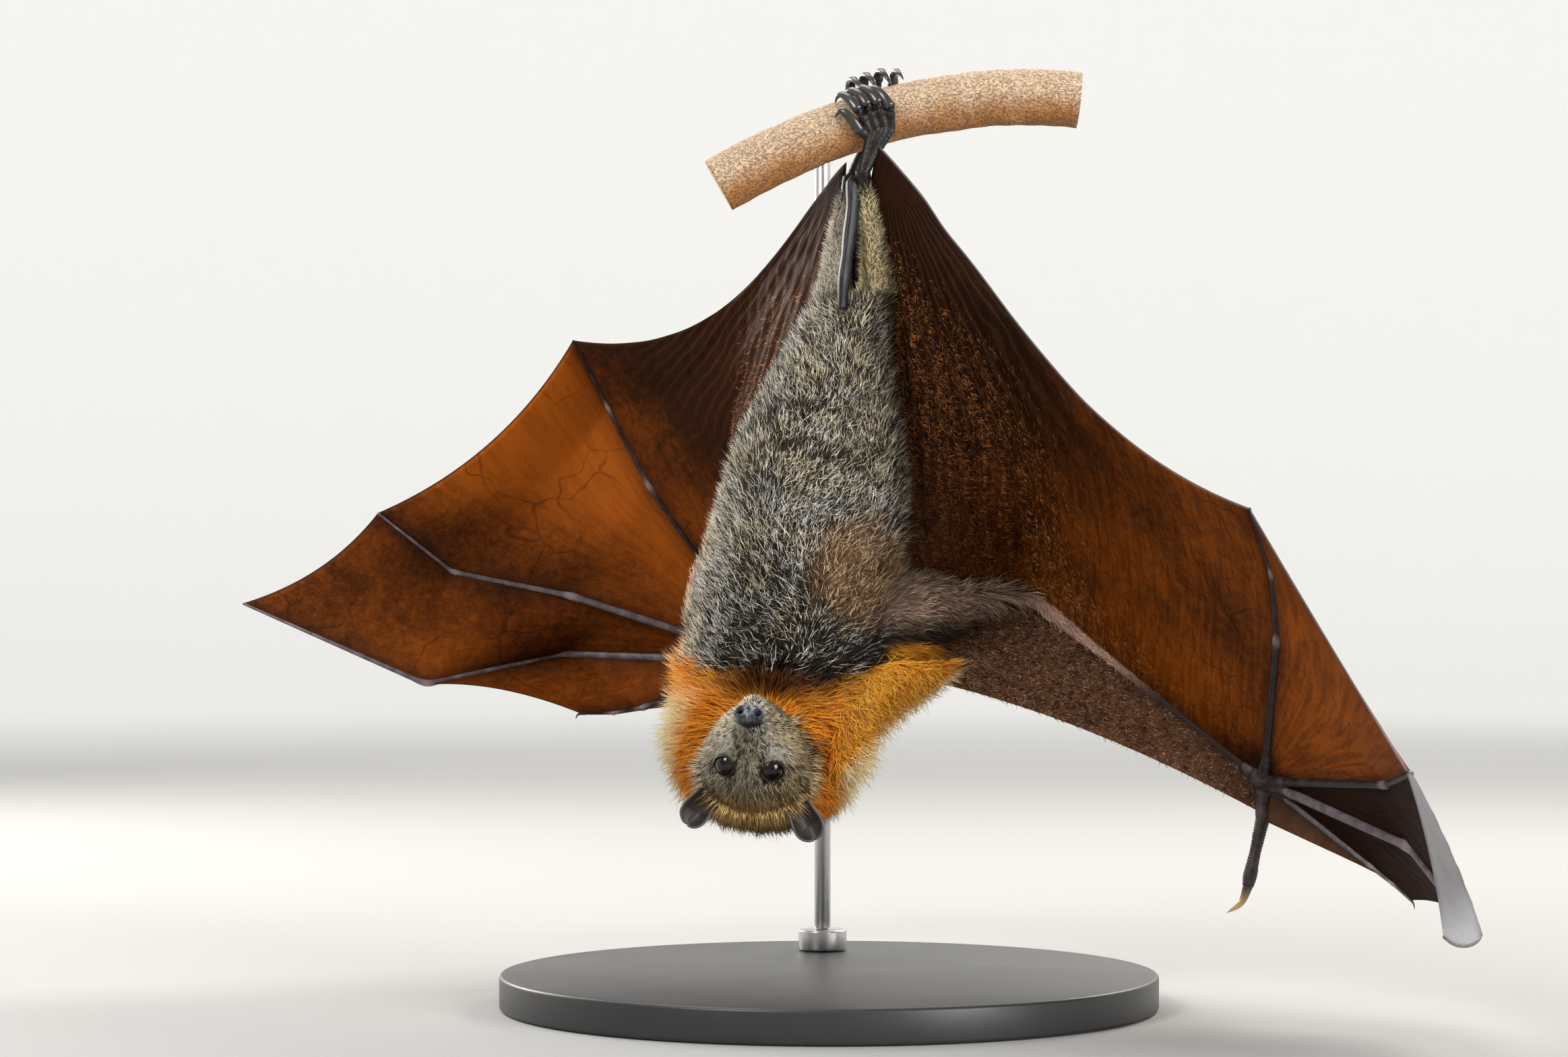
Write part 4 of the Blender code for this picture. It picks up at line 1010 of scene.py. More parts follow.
def owners(points):
    """The number of the flesh node that each point lies nearest."""
    best = np.full(len(points), 1e9)
    owner = np.zeros(len(points), int)
    for number, node in enumerate(FLESH):
        low, high = (np.array(corner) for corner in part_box(node))
        near = np.flatnonzero((np.maximum(low - points, points - high).max(axis=1)) < 0.004)
        tree = BVHTree.FromObject(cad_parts[node], bpy.context.evaluated_depsgraph_get())
        for k in near:
            gap = tree.find_nearest(points[k])[3]
            if gap is not None and gap < best[k]:
                best[k], owner[k] = gap, number
    return owner


def taubin(points, edges, rounds):
    """Smooths without shrinking."""
    for _ in range(rounds):
        points = relax(points, edges, 1, 0.55)
        points = relax(points, edges, 1, -0.57)
    return points


def near_eyes(points, reach):
    """1 on the eyes and on the corners that run from them towards the nose."""
    share = np.zeros(len(points))
    for side in SIDES:
        front = eye_centre(side) + eye_look(side) * EYE_RADIUS * 0.8
        for place, size in ((front, reach), (front + eye_corner(side) * 0.0058, reach * 0.52)):
            gap = np.linalg.norm(points - np.array(place), axis=1)
            share = np.maximum(share, 1 - ease(gap, size * 0.5, size))
    return share


def from_nose(points):
    return np.linalg.norm(points - np.array(NOSE_TIP), axis=1)


def on_nose(points):
    return 1 - ease(from_nose(points), 0.0062, 0.0090)


def along_forearm(points, side):
    """0 level with the elbow and 1 level with the wrist."""
    elbow, wrist = JOINTS[side]["elbow"], JOINTS[side]["wrist"]
    return (points - np.array(elbow)) @ np.array(unit(wrist - elbow)) / FOREARM


def short_muzzle(points):
    """Shorter hair towards the nose."""
    return 0.56 + 0.44 * ease(from_nose(points), 0.012, 0.036)


def bare_share(points):
    """Where no hair grows: the nose, the lids, and the ends of the limbs."""
    bare = np.maximum(on_nose(points), near_eyes(points, 0.0064))
    for side in SIDES:
        elbow, wrist = JOINTS[side]["elbow"], JOINTS[side]["wrist"]
        along = along_forearm(points, side)
        off = np.linalg.norm(points - np.array(elbow) - along[:, None] * np.array(wrist - elbow), axis=1)
        bare = np.maximum(bare, ease(along, 0.35, 0.62) * (off < 0.012))
    bare = np.maximum(bare, ease(points[:, 2], 0.380, 0.386))
    return np.clip(bare, 0, 1)


def carve_face(points):
    """The mouth's line, the groove of the muzzle and the brows."""
    back, across, high = in_head(points)
    inside = (back > -0.004) & (back < 0.045)
    lip = -0.0052 - 0.0035 * ease(back, 0.004, 0.026)
    mouth = np.exp(-(((high - lip) / 0.00085) ** 2)) * (1 - ease(back, 0.020, 0.026)) * inside
    groove = np.exp(-((across / 0.0016) ** 2)) * ease(high, 0.0, 0.004)
    groove = groove * (1 - ease(back, 0.010, 0.022)) * inside
    sockets = np.zeros(len(points))
    for side in SIDES:
        look, centre = np.array(eye_look(side)), np.array(eye_centre(side))
        away = points - centre
        flat = np.linalg.norm(away - (away @ look)[:, None] * look, axis=1)
        ring = np.exp(-(((flat - 0.0072) / 0.0022) ** 2)) * (away @ look > 0)
        sockets = np.maximum(sockets, ring)
    axis = np.array(NOSE_TIP)[None] - back[:, None] * np.array(FORWARD)[None]
    inward = unit_rows(axis - points)
    return points + inward * (mouth * 0.0011 + groove * 0.0005 + sockets * 0.0007)[:, None]


def lie_of_hair(points, owner):
    """The way the hair lies at each point, before it is laid flat on the skin."""
    lie = np.zeros_like(points)
    middle = np.array(head_point(0.040, 0.0, 0.0))
    for number, name in enumerate(FLESH):
        mine = owner == number
        if name == "head":
            away = points[mine] - np.array(NOSE_TIP + FORWARD * 0.004)
            lie[mine] = unit_rows(away) - 0.15 * np.array(FORWARD)
        elif name == "neck":
            away = points[mine] - middle
            away[:, 1] *= 0.4
            lie[mine] = unit_rows(away) + np.array((0, 0.10, -0.42))
        elif name.startswith(("upper_arm", "forearm")):
            bone, side = name.rsplit("_", 1)
            start, end = ("shoulder", "elbow") if bone == "upper_arm" else ("elbow", "wrist")
            lie[mine] = np.array(unit(JOINTS[side][end] - JOINTS[side][start])) + np.array((0, 0, -0.25))
        elif name == "trunk":
            away = points[mine] - np.array((-0.01, 0, 0.2))
            lie[mine] = np.array((0, 0, 1.0)) + 0.35 * away * np.array((12, 0, 0))
        else:
            lie[mine] = np.array((0, 0, 1.0))
    return lie


def markings(points, owner, edges):
    """How far each point belongs to the mantle, the face, the limbs, the silver streaks and bare skin."""
    x, y, z = points.T
    head, neck = is_one_of("head")(owner), is_one_of("neck")(owner)
    border = 0.1465 + 0.30 * np.abs(x + 0.018)
    border = border + 0.004 * soft_noise(points, 0.03, 3) + 0.010 * ease(y, 0.0, 0.03)
    mantle = 1 - ease(z, border - 0.005, border + 0.005)
    arm, shin = is_one_of("upper_arm", "forearm")(owner), is_one_of("shank")(owner)
    reach = np.linalg.norm(points - np.array(JOINTS["right"]["shoulder"]), axis=1)
    shoulder = (1 - ease(reach, 0.040, 0.062)) * (1 - ease(z, 0.166, 0.176))
    mantle = np.where(arm, np.where(x > 0, shoulder, 0.0), mantle) * ~head
    limb = relax((arm | shin).astype(float), edges, 16)
    nape = (1 - ease(np.hypot(x + 0.034, z - 0.116), 0.026, 0.034)) * (1 - ease(z, 0.094, 0.106))
    nape = np.maximum(nape, 1 - ease(z, 0.088, 0.098)) * neck
    back, across, high = in_head(points)
    streak = np.exp(-(((np.abs(across) - 0.0080 - 0.14 * back) / 0.0042) ** 2))
    streak = streak * ease(back, 0.004, 0.010) * (1 - ease(back, 0.024, 0.032)) * ease(high, -0.001, 0.005)
    brow = 0.40 * np.exp(-((across / 0.0075) ** 2)) * ease(back, 0.018, 0.025)
    brow = brow * (1 - ease(back, 0.032, 0.042)) * ease(high, 0.0, 0.006)
    silver = np.maximum(streak, brow) + 0.35 * (1 - ease(from_nose(points), 0.008, 0.015))
    # The silver mark goes negative low on the neck: painted shade below the head.
    silver = np.clip(silver, 0, 1) * head - (1 - ease(z, 0.100, 0.114)) * neck
    wrists = np.maximum(*(ease(along_forearm(points, side), 0.30, 0.60) * arm for side in SIDES))
    lids, ankles = near_eyes(points, 0.0082), ease(z, 0.374, 0.386)
    dark = np.maximum.reduce([lids * 0.95, on_nose(points) * head * 0.7, wrists * 0.92, ankles * 0.95])
    return {
        "mantle": relax(mantle, edges, 3),
        "face": np.maximum(relax(head.astype(float), edges, 3), nape),
        "limb": limb,
        "silver": silver,
        "dark": np.clip(dark, 0, 1),
        "down": np.zeros(len(points)),
        "grizzle": np.zeros(len(points)),
    }


# Coat


def picks_by_weight(weight, count, rng):
    """The numbers of count items, evenly spread over the weights."""
    steps = np.cumsum(weight)
    wanted = (np.arange(count) + rng.uniform(0, 1, count)) / count * steps[-1]
    return np.minimum(np.searchsorted(steps, wanted), len(weight) - 1)


def plant(skin, chosen, count, seed):
    """Roots scattered over the chosen part of the skin, with everything the hair needs there."""
    mesh = skin.data
    points, triangles = points_of(mesh), triangles_of(mesh)
    density = read_values(mesh, "hair_density")
    corners = points[triangles]
    area = np.linalg.norm(np.cross(corners[:, 1] - corners[:, 0], corners[:, 2] - corners[:, 0]), axis=1)
    owner = read_values(mesh, "owner")[triangles[:, 0]]
    weight = area * density[triangles].mean(axis=1) * chosen(corners.mean(axis=1), owner)
    rng = np.random.default_rng(seed)
    picks = picks_by_weight(weight, count, rng)
    first, second = rng.uniform(0, 1, (2, count))
    flip = first + second > 1
    first[flip], second[flip] = 1 - first[flip], 1 - second[flip]
    shares = np.stack([1 - first - second, first, second], axis=1)
    ids = triangles[picks]
    lie = rows_of(mesh.attributes["lie"].data, "vector", 3, np.float32).astype(float)

    def spread(table):
        return (table[ids] * shares.reshape(count, 3, *[1] * (table.ndim - 1))).sum(axis=1)

    return {
        "root": spread(points),
        "normal": unit_rows(spread(normals_of(mesh))),
        "lie": unit_rows(spread(lie)),
        "length": spread(read_values(mesh, "hair_length")),
        "lift": spread(read_values(mesh, "hair_lift")),
        "marks": {name: spread(read_values(mesh, name)) for name in MARKS},
        "rng": rng,
    }


def grow(bed, width, rings=2, curl=0.22, droop=0.75, clump=0.35, length=1.0):
    """Tapered three-sided hairs: the points, and where each point is between root and tip."""
    rng, count = bed["rng"], len(bed["root"])
    normal, lie = bed["normal"], bed["lie"]
    side = np.cross(normal, lie)
    swing = rng.normal(0, curl, count)[:, None]
    lie = unit_rows(lie * np.cos(swing) + side * np.sin(swing))
    side = np.cross(normal, lie)
    long = bed["length"] * rng.uniform(0.55, 1.35, count) * length
    lift = np.radians(bed["lift"] + rng.normal(0, bed.get("stray", 9), count))
    bend = rng.normal(0, 0.35, count)
    places = np.r_[np.linspace(0, 1, rings + 1)[:-1] ** 0.8, 1.0]
    centres = [bed["root"] - normal * 0.0005]
    for low, high in zip(places, places[1:]):
        middle = (low + high) / 2
        angle = (lift * (1 - droop * middle))[:, None]
        way = lie * np.cos(angle) + normal * np.sin(angle) + side * (bend * middle)[:, None]
        centres.append(centres[-1] + unit_rows(way) * (long * (high - low))[:, None])
    draw_together(centres, places, bed, clump, rng)
    points, along = [], []
    thick = width * rng.uniform(0.75, 1.25, count)
    for place, centre in zip(places[:-1], centres[:-1]):
        girth = (thick * (1 - 0.62 * place))[:, None]
        for k in range(3):
            angle = 2 * math.pi * k / 3
            across, out = side * girth * 0.5 * math.cos(angle), normal * girth * 0.32 * math.sin(angle)
            points.append(centre + across + out)
            along.append(place)
    points.append(centres[-1])
    along.append(1.0)
    return np.stack(points, axis=1), np.array(along)


def draw_together(centres, places, bed, clump, rng):
    """Leans each hair's tip towards a leading hair's nearby, so that locks form, and tones it like its lock."""
    roots = bed["root"]
    leaders = rng.choice(len(roots), max(len(roots) // bed.get("lock", 8), 1), replace=False)
    tree = KDTree(len(leaders))
    for number, k in enumerate(leaders):
        tree.insert(roots[k], number)
    tree.balance()
    chosen = leaders[np.array([tree.find(root)[1] for root in roots])]
    pull = (centres[-1][chosen] - centres[-1]) * clump
    for place, centre in zip(places[1:], centres[1:]):
        centre += pull * place**2
    tones = rng.uniform(0, 1, len(roots))
    bed["shade"] = np.where(rng.uniform(0, 1, len(roots)) < bed.get("alike", 0.55), tones[chosen], tones)


def hair_faces(rings):
    """The triangles of one hair, and each corner's place in its patch of the unwrap."""
    faces, patch = [], []
    for row in range(rings - 1):
        low, high = row / rings, (row + 1) / rings
        for k in range(3):
            after = (k + 1) % 3
            a, b = row * 3 + k, row * 3 + after
            c, d = a + 3, b + 3
            faces += [(a, b, d), (a, d, c)]
            patch += [((k / 3, low), ((k + 1) / 3, low), ((k + 1) / 3, high))]
            patch += [((k / 3, low), ((k + 1) / 3, high), (k / 3, high))]
    tip, last = rings * 3, (rings - 1) * 3
    for k in range(3):
        faces.append((last + k, last + (k + 1) % 3, tip))
        patch.append(((k / 3, (rings - 1) / rings), ((k + 1) / 3, (rings - 1) / rings), ((k + 0.5) / 3, 1.0)))
    faces.append((0, 2, 1))
    patch.append(((0.0, 0.0), (0.5, 0.02), (1.0, 0.0)))
    return np.array(faces), np.array(patch)


def hair_piece(name, bed, hairs, along, unwrap):
    """The hairs as one mesh, with its tones and its unwrap."""
    count, per_hair = hairs.shape[:2]
    rings = (per_hair - 1) // 3
    faces, patch = hair_faces(rings)
    index = (faces[None] + (np.arange(count) * per_hair)[:, None, None]).reshape(-1)
    mesh = bpy.data.meshes.new(name)
    mesh.vertices.add(count * per_hair)
    mesh.vertices.foreach_set("co", hairs.reshape(-1))
    mesh.loops.add(len(index))
    mesh.loops.foreach_set("vertex_index", index.astype(np.int32))
    mesh.polygons.add(len(index) // 3)
    mesh.polygons.foreach_set("loop_start", np.arange(0, len(index), 3, dtype=np.int32))
    mesh.polygons.foreach_set("use_smooth", np.ones(len(index) // 3, bool))
    mesh.update(calc_edges=True)
    flat = mesh.uv_layers.new(name="OFBake")
    corner = (patch - 0.5) * PATCH
    table = unwrap(bed["root"])[:, None, None, :] * (1 - 2 * PATCH) + PATCH + corner[None]
    flat.data.foreach_set("uv", np.clip(table, 0, 1).reshape(-1).astype(np.float32))
    write_values(mesh, "tip", np.tile(along, count))
    write_values(mesh, "shade", np.repeat(bed["shade"], per_hair))
    for mark, values in bed["marks"].items():
        write_values(mesh, mark, np.repeat(values, per_hair))
    return finish_piece(new_object(name, mesh), coat_material(), ())


def round_unwrap(start, end, seam=(0, 1, 0)):
    """An unwrap like a label's, round the line from start to end."""
    start, along = np.array(start, float), np.array(unit(Vector(end) - Vector(start)))
    first = unit_rows((np.array(seam, float) - along * along.dot(seam))[None])[0]
    second = np.cross(along, first)

    def unwrap(points):
        away = points - start
        high = away @ along
        turn = np.arctan2(away @ second, away @ first) / (2 * math.pi) + 0.5
        low, top = np.percentile(high, (0.2, 99.8))
        left, right = np.percentile(turn, (0.2, 99.8))
        flat = np.stack([(turn - left) / (right - left), (high - low) / (top - low)], axis=1)
        return np.clip(flat, 0, 1)

    return unwrap


def flat_unwrap(across, up):
    """An unwrap of a sheet along two of its own directions."""
    axes = np.stack([np.array(unit(across)), np.array(unit(up))], axis=1)

    def unwrap(points):
        flat = points @ axes
        low, high = np.percentile(flat, (0.2, 99.8), axis=0)
        return np.clip((flat - low) / (high - low), 0, 1)

    return unwrap


def hair_count(wanted):
    share = bpy.context.scene.flying_fox.coat_density
    return int(wanted * share * (1.0))


def build_body_coat(skin):
    """The grey coat of the belly, the chest, the back and the legs."""
    sizes = bpy.context.scene.flying_fox
    body, legs = is_one_of("trunk", "thigh"), is_one_of("shank")
    pieces = (
        ("coat_belly", lambda p, o: body(o) & (p[:, 1] < 0.004) & (p[:, 2] > 0.238), 34000, 11),
        ("coat_chest", lambda p, o: body(o) & (p[:, 1] < 0.004) & (p[:, 2] <= 0.238), 40000, 12),
        ("coat_back_low", lambda p, o: body(o) & (p[:, 1] >= 0.004) & (p[:, 2] <= 0.238), 24000, 13),
        ("coat_back_high", lambda p, o: body(o) & (p[:, 1] >= 0.004) & (p[:, 2] > 0.238), 20000, 15),
        ("coat_legs", lambda p, o: legs(o), 16000, 14),
    )
    for name, chosen, count, seed in pieces:
        bed = plant(skin, chosen, hair_count(count), seed)
        bed.update(alike=0.35, stray=14)
        hairs, along = grow(bed, 0.00072, rings=1, curl=0.68, clump=0.22, length=sizes.coat_length / COAT_LENGTH)
        unwrap = round_unwrap((-0.01, 0.002, 0.16), (0.01, 0.002, 0.38), (0, 1 if "back" not in name else -1, 0))
        hair_piece(name, bed, hairs, along, unwrap)


def build_mantle(skin):
    """The long orange ruff, in a front and a back piece, with a fringe that stands out round the face."""
    sizes = bpy.context.scene.flying_fox
    neck = is_one_of("neck")
    pieces = (
        ("mantle_front", lambda p, o: neck(o) & (p[:, 1] < 0.008), 17500, 21),
        ("mantle_back", lambda p, o: neck(o) & (p[:, 1] >= 0.008), 10000, 22),
    )
    for name, chosen, count, seed in pieces:
        bed = plant(skin, chosen, hair_count(count), seed)
        hairs, along = grow(bed, 0.00062, rings=2, curl=0.30, clump=0.30, length=sizes.mantle_length / MANTLE_LENGTH)
        unwrap = round_unwrap((-0.03, 0.008, 0.17), (-0.03, 0.008, 0.08), (0, 1 if "front" in name else -1, 0))
        hair_piece(name, bed, hairs, along, unwrap)


def build_head_coat(skin):
    """The short peppered fur of the face and the crown."""
    sizes = bpy.context.scene.flying_fox
    head = is_one_of("head")

    def before_crown(points):
        return in_head(points)[0] + 0.006 * soft_noise(points, 0.004, 12) < 0.031

    pieces = (
        ("coat_face", lambda p, o: head(o) & before_crown(p), 27000, 31, 0.00046),
        ("coat_crown", lambda p, o: head(o) & ~before_crown(p), 30000, 32, 0.00048),
    )
    for name, chosen, count, seed, width in pieces:
        bed = plant(skin, chosen, hair_count(count), seed)
        bed.update(lock=5, alike=0.70)
        ears = (np.array(ear_place(EAR_ROOT, side)) for side in SIDES)
        gap = np.minimum(*(np.linalg.norm(bed["root"] - ear, axis=1) for ear in ears))
        bed["length"] *= 1 + 0.15 * np.exp(-((gap / 0.008) ** 2))
        hairs, along = grow(bed, width, rings=1, curl=0.36, clump=0.20, length=sizes.face_length / FACE_LENGTH)
        unwrap = round_unwrap(head_point(0.0, 0, 0), head_point(0.06, 0, 0), -CROWN)
        hair_piece(name, bed, hairs, along, unwrap)


def build_arm_coat(skin):
    """The thin coat of the upper arms and the forearms."""
    arms = is_one_of("upper_arm", "forearm")
    for side, count in (("right", 5500), ("left", 3000)):
        sign = SIGN[side]
        bed = plant(skin, lambda p, o, sign=sign: arms(o) & (p[:, 0] * sign > 0), hair_count(count), 41 + sign)
        hairs, along = grow(bed, 0.00048, curl=0.28)
        joints = JOINTS[side]
        unwrap = round_unwrap(joints["shoulder"], joints["wrist"], (0, 1, 0.2))
        hair_piece(f"coat_arm_{side}", bed, hairs, along, unwrap)


def plant_on_sheet(grid, count, seed, share, facing, lie, length, lift, mark):
    """Roots on one face of a wing sheet. The share of u and v says where they stand thickest."""
    rows, columns = grid.shape[:2]
    normals = grid_normals(grid)
    normals = normals * np.where((normals @ np.array(facing, float)) < 0, -1.0, 1.0)[:, :, None]
    u, v = np.meshgrid(*((np.arange(cells) + 0.5) / cells for cells in (columns - 1, rows - 1)))
    sides = np.cross(grid[1:, :-1] - grid[:-1, :-1], grid[:-1, 1:] - grid[:-1, :-1])
    weight = (np.linalg.norm(sides, axis=2) * share(u, v)).ravel()
    rng = np.random.default_rng(seed)
    row, column = np.divmod(picks_by_weight(weight, count, rng), columns - 1)
    a, b = rng.uniform(0, 1, (2, count, 1))

    def spread(table):
        low = table[row, column] * (1 - a) + table[row, column + 1] * a
        high = table[row + 1, column] * (1 - a) + table[row + 1, column + 1] * a
        return low * (1 - b) + high * b

    normal = unit_rows(spread(normals))
    root = spread(grid) + normal * 0.0003
    way = np.broadcast_to(np.array(lie, float), root.shape)
    way = unit_rows(way - normal * (way * normal).sum(axis=1, keepdims=True))
    return {
        "root": root,
        "normal": normal,
        "lie": way,
        "length": np.full(count, float(length)),
        "lift": np.full(count, float(lift)),
        "marks": {name: np.full(count, float(name == mark)) for name in MARKS},
        "rng": rng,
    }


def shoulder_fold():
    """The furred fold that fills the angle between the neck and the right wing's leading edge."""
    top = smooth_rows(((0.004, -0.014, 0.154), (0.0295, -0.016, 0.1625), (0.0535, -0.006, 0.1605)), 24)
    low = (
        (0.000, -0.014, 0.113),
        (0.011, -0.014, 0.1185),
        (0.018, -0.013, 0.1300),
        (0.030, -0.011, 0.1415),
        (0.044, -0.008, 0.1515),
        (0.0535, -0.006, 0.159),
    )
    low = resample(smooth_rows(low, 40), 24)
    shares = np.linspace(0, 1, 14)[:, None, None]
    grid = top[None] * (1 - shares) + low[None] * shares
    grid[:, :, 1] -= 0.004 * np.sin(math.pi * shares[:, :, 0])
    return grid


def add_shoulder_fold(grid):
    points, tone = grid.reshape(-1, 3), bpy.data.materials["skin_under_coat"]
    fold = add_mesh("shoulder_fold", points, grid_faces(*grid.shape[:2]), tone, ())
    for name in MARKS:
        write_values(fold.data, name, np.full(len(points), float(name == "mantle")))
    apply_step(fold, "SOLIDIFY", thickness=0.0012, offset=0.0)


def build_wing_down():
    """The shoulder's long orange fur, and the short down on the wings beside the body."""
    front = (0.0, -1.0, 0.0)

    def shoulder(u, v):
        return (1 - ease(u, 0.03, 0.13)) * (1 - ease(v, 0.30, 0.55))

    def by_flank(u, v):
        beside_body = (1 - ease(u - 0.20 * v, 0.14, 0.46)) * ease(v, 0.12, 0.45)
        return beside_body + 0.8 * ease(v, 0.80, 0.93) * (1 - ease(u, 0.50, 0.85))

    def on_front(u, v):
        return (1 - 0.6 * ease(u, 0.30, 0.95)) * np.ones_like(v)

    def all_over(u, v):
        return np.ones_like(u)

    flap = shoulder_fold()
    add_shoulder_fold(flap)
    front_right, side_right = front_sheet("right"), side_sheet("right")
    beds = (
        ("coat_shoulder_fold", flap, 5000, all_over, (0.58, -0.10, -0.66), 0.0098, 36, "mantle", 0.00056),
        ("coat_shoulder", front_right, 2500, shoulder, (0.50, -0.25, -0.80), 0.0105, 26, "mantle", 0.00060),
        ("down_front_right", front_right, 16000, on_front, (0.8, 0.0, -0.5), 0.0042, 26, "grizzle", 0.00042),
        ("down_front_left", front_sheet("left"), 2500, on_front, (-0.3, 0.3, -0.8), 0.0034, 24, "grizzle", 0.00034),
        ("down_side_right", side_right, 32000, by_flank, (0.75, 0.0, -0.45), 0.0046, 20, "down", 0.00030),
        ("down_side_left", side_sheet("left"), 6000, by_flank, (-0.75, 0.0, -0.30), 0.0040, 20, "down", 0.00030),
    )
    for number, (name, grid, count, share, lie, length, lift, mark, width) in enumerate(beds):
        rings = 3 if mark == "mantle" else 1
        bed = plant_on_sheet(grid, hair_count(count), 60 + number, share, front, lie, length, lift, mark)
        if name == "coat_shoulder_fold":
            below_edge = 0.1235 - bed["root"][:, 2] + 0.82 * bed["root"][:, 0]
            bed["length"] = 0.0095 + 0.0060 * ease(below_edge, 0.0, 0.012)
        hairs, along = grow(bed, width, rings=rings, curl=0.60 if rings == 3 else 0.75, clump=0.2)
        up = grid[-1, 0] - grid[0, 0]
        unwrap = flat_unwrap(grid[grid.shape[0] // 2, -1] - grid[grid.shape[0] // 2, 0], up)
        hair_piece(name, bed, hairs, along, unwrap)


# Wings


def edge_arc(start, end, sag, skew, count):
    """A free edge between two anchors, drawn in towards the wing."""
    t = np.linspace(0, 1, count)[:, None]
    bow = 4 * t**skew * (1 - t**skew)
    return np.array(start) * (1 - t) + np.array(end) * t + np.array(sag) * bow


def sheet_values(grid):
    """Each point's place on the flattened sheet, in metres."""
    across = np.linalg.norm(np.diff(grid, axis=1), axis=2).mean(axis=0)
    up = np.linalg.norm(np.diff(grid, axis=0), axis=2).mean(axis=1)
    u = np.r_[0, np.cumsum(across)]
    v = np.r_[0, np.cumsum(up)]
    return np.stack(np.meshgrid(u, v), axis=2)


def grid_normals(grid):
    first = np.gradient(grid, axis=1)
    second = np.gradient(grid, axis=0)
    normal = np.cross(first, second)
    return normal / np.maximum(np.linalg.norm(normal, axis=2, keepdims=True), 1e-12)


def from_corner(grid):
    """How far each point lies from the sheet's first corner, and the direction that it lies in."""
    away = grid - grid[0, 0]
    return np.linalg.norm(away, axis=2), np.arctan2(np.abs(away[:, :, 0]), -away[:, :, 2])


def wing_sheet(name, grid, side, tone, warm, nodes=None):
    """A thin two-sided sheet on a grid of points, with its own flat map and its tones."""
    rows, columns = grid.shape[:2]
    points = grid.reshape(-1, 3)
    nodes = (name,) if nodes is None else nodes
    piece = add_mesh(name, points, grid_faces(rows, columns), tone, nodes)
    mesh = piece.data
    flat = mesh.uv_layers.new(name="Sheet")
    corners = rows_of(mesh.loops, "vertex_index", 1, int).ravel()
    flat.data.foreach_set("uv", sheet_values(grid).reshape(-1, 2)[corners].reshape(-1).astype(np.float32))
    # How near each point lies to the bones, for the painted shade beside them.
    write_values(mesh, "near_bone", nearness(points, bone_samples(side), 0.0055))
    # The warm mark: partly the skin's own tone, partly painted glow of light through it.
    write_values(mesh, "warm", warm(points))
    free = np.zeros((rows, columns))
    free[0 if name.startswith("side") else -1] = 0.0 if name.startswith("front") else 1.0
    write_values(mesh, "free_edge", free.ravel())
    reach, fan = from_corner(grid)
    # The pleat mark fades the pleats in and out; the material paints their crests lighter, a painted highlight.
    pleat = ease(reach, 0.006, 0.030) * (1 - ease(reach, 0.12, 0.21)) * name.startswith("side")
    write_values(mesh, "fan", fan.ravel())
    write_values(mesh, "pleat", pleat.ravel())
    # The sheen band: painted sheen on the folded tips of the right hand's two outer sheets.
    share = np.repeat(np.linspace(0, 1, rows), columns)
    starts = {"membrane_3_4_right": 0.66, "membrane_4_5_right": 0.93}.get(name, 2.0)
    sheen_band = ease(share + 0.02 * soft_noise(points, 0.02, 3), starts, starts + 0.10)
    write_values(mesh, "sheen_band", 0.85 * sheen_band)
    apply_step(piece, "SOLIDIFY", thickness=bpy.context.scene.flying_fox.membrane_thickness, offset=0.0)


def belly(grid, amount, folds, seed):
    """Lets the middle of a sheet fill like a sail and ripples it along its columns."""
    rows, columns = grid.shape[:2]
    u = np.linspace(0, 1, columns)[None, :]
    v = np.linspace(0, 1, rows)[:, None]
    inside = (4 * u * (1 - u)) ** 0.7 * np.minimum(1, 6 * (1 - v)) ** 0.7
    inside = inside * (0.06 + 0.94 * ease(v, 0.0, 0.10))
    flat = sheet_values(grid)
    wave = flat[:, :, 0] + 0.10 * flat[:, :, 1] * np.sin(3.1 * v)
    drift = soft_noise(grid.reshape(-1, 3), 0.05, seed).reshape(rows, columns)
    ripple = np.sin(wave / folds[1] * 2 * math.pi + 2.5 * drift)
    fine = np.sin(wave / (folds[1] * 0.37) * 2 * math.pi + 4 * drift)
    rise = amount * inside + folds[0] * (ripple + 0.4 * fine) * inside * (0.35 + 0.65 * v)
    return grid + grid_normals(grid) * rise[:, :, None]


# How much of the painted glow each right hand sheet gets: little on the sheets between the second and fourth
# fingers, most on the sheet between the fourth and fifth, which the light shines through.
HAND_WARMTH = {2: 0.12, 3: 0.16, 4: 1.15}


def warm_of(side, share=1.0):
    """How light and warm the wing skin is at each point: partly the skin's own tone and partly painted glow of light
    through the thin skin.
    """
    ankle = np.array((0.02, -0.01, 0.40))
    wrist = np.array(JOINTS[side]["wrist"])

    def right(points):
        gap = np.linalg.norm(points - ankle, axis=1)
        low = ease(gap, 0.10, 0.26)
        # Painted shade near the right wrist.
        hand = 0.25 + 0.75 * ease(np.linalg.norm(points - wrist, axis=1), 0.006, 0.040)
        return np.clip((0.06 + 0.42 * low + 0.08 * soft_noise(points, 0.05, 5)) * share * hand, 0, 1)

    def left(points):
        gap = np.linalg.norm(points - ankle, axis=1)
        ring = 0.98 * ease(gap, 0.180, 0.255)
        outer = 0.60 * ease(gap, 0.255, 0.33)
        return np.clip((0.02 + ring - outer + 0.10 * soft_noise(points, 0.05, 6)) * share, 0, 1)

    return right if side == "right" else left


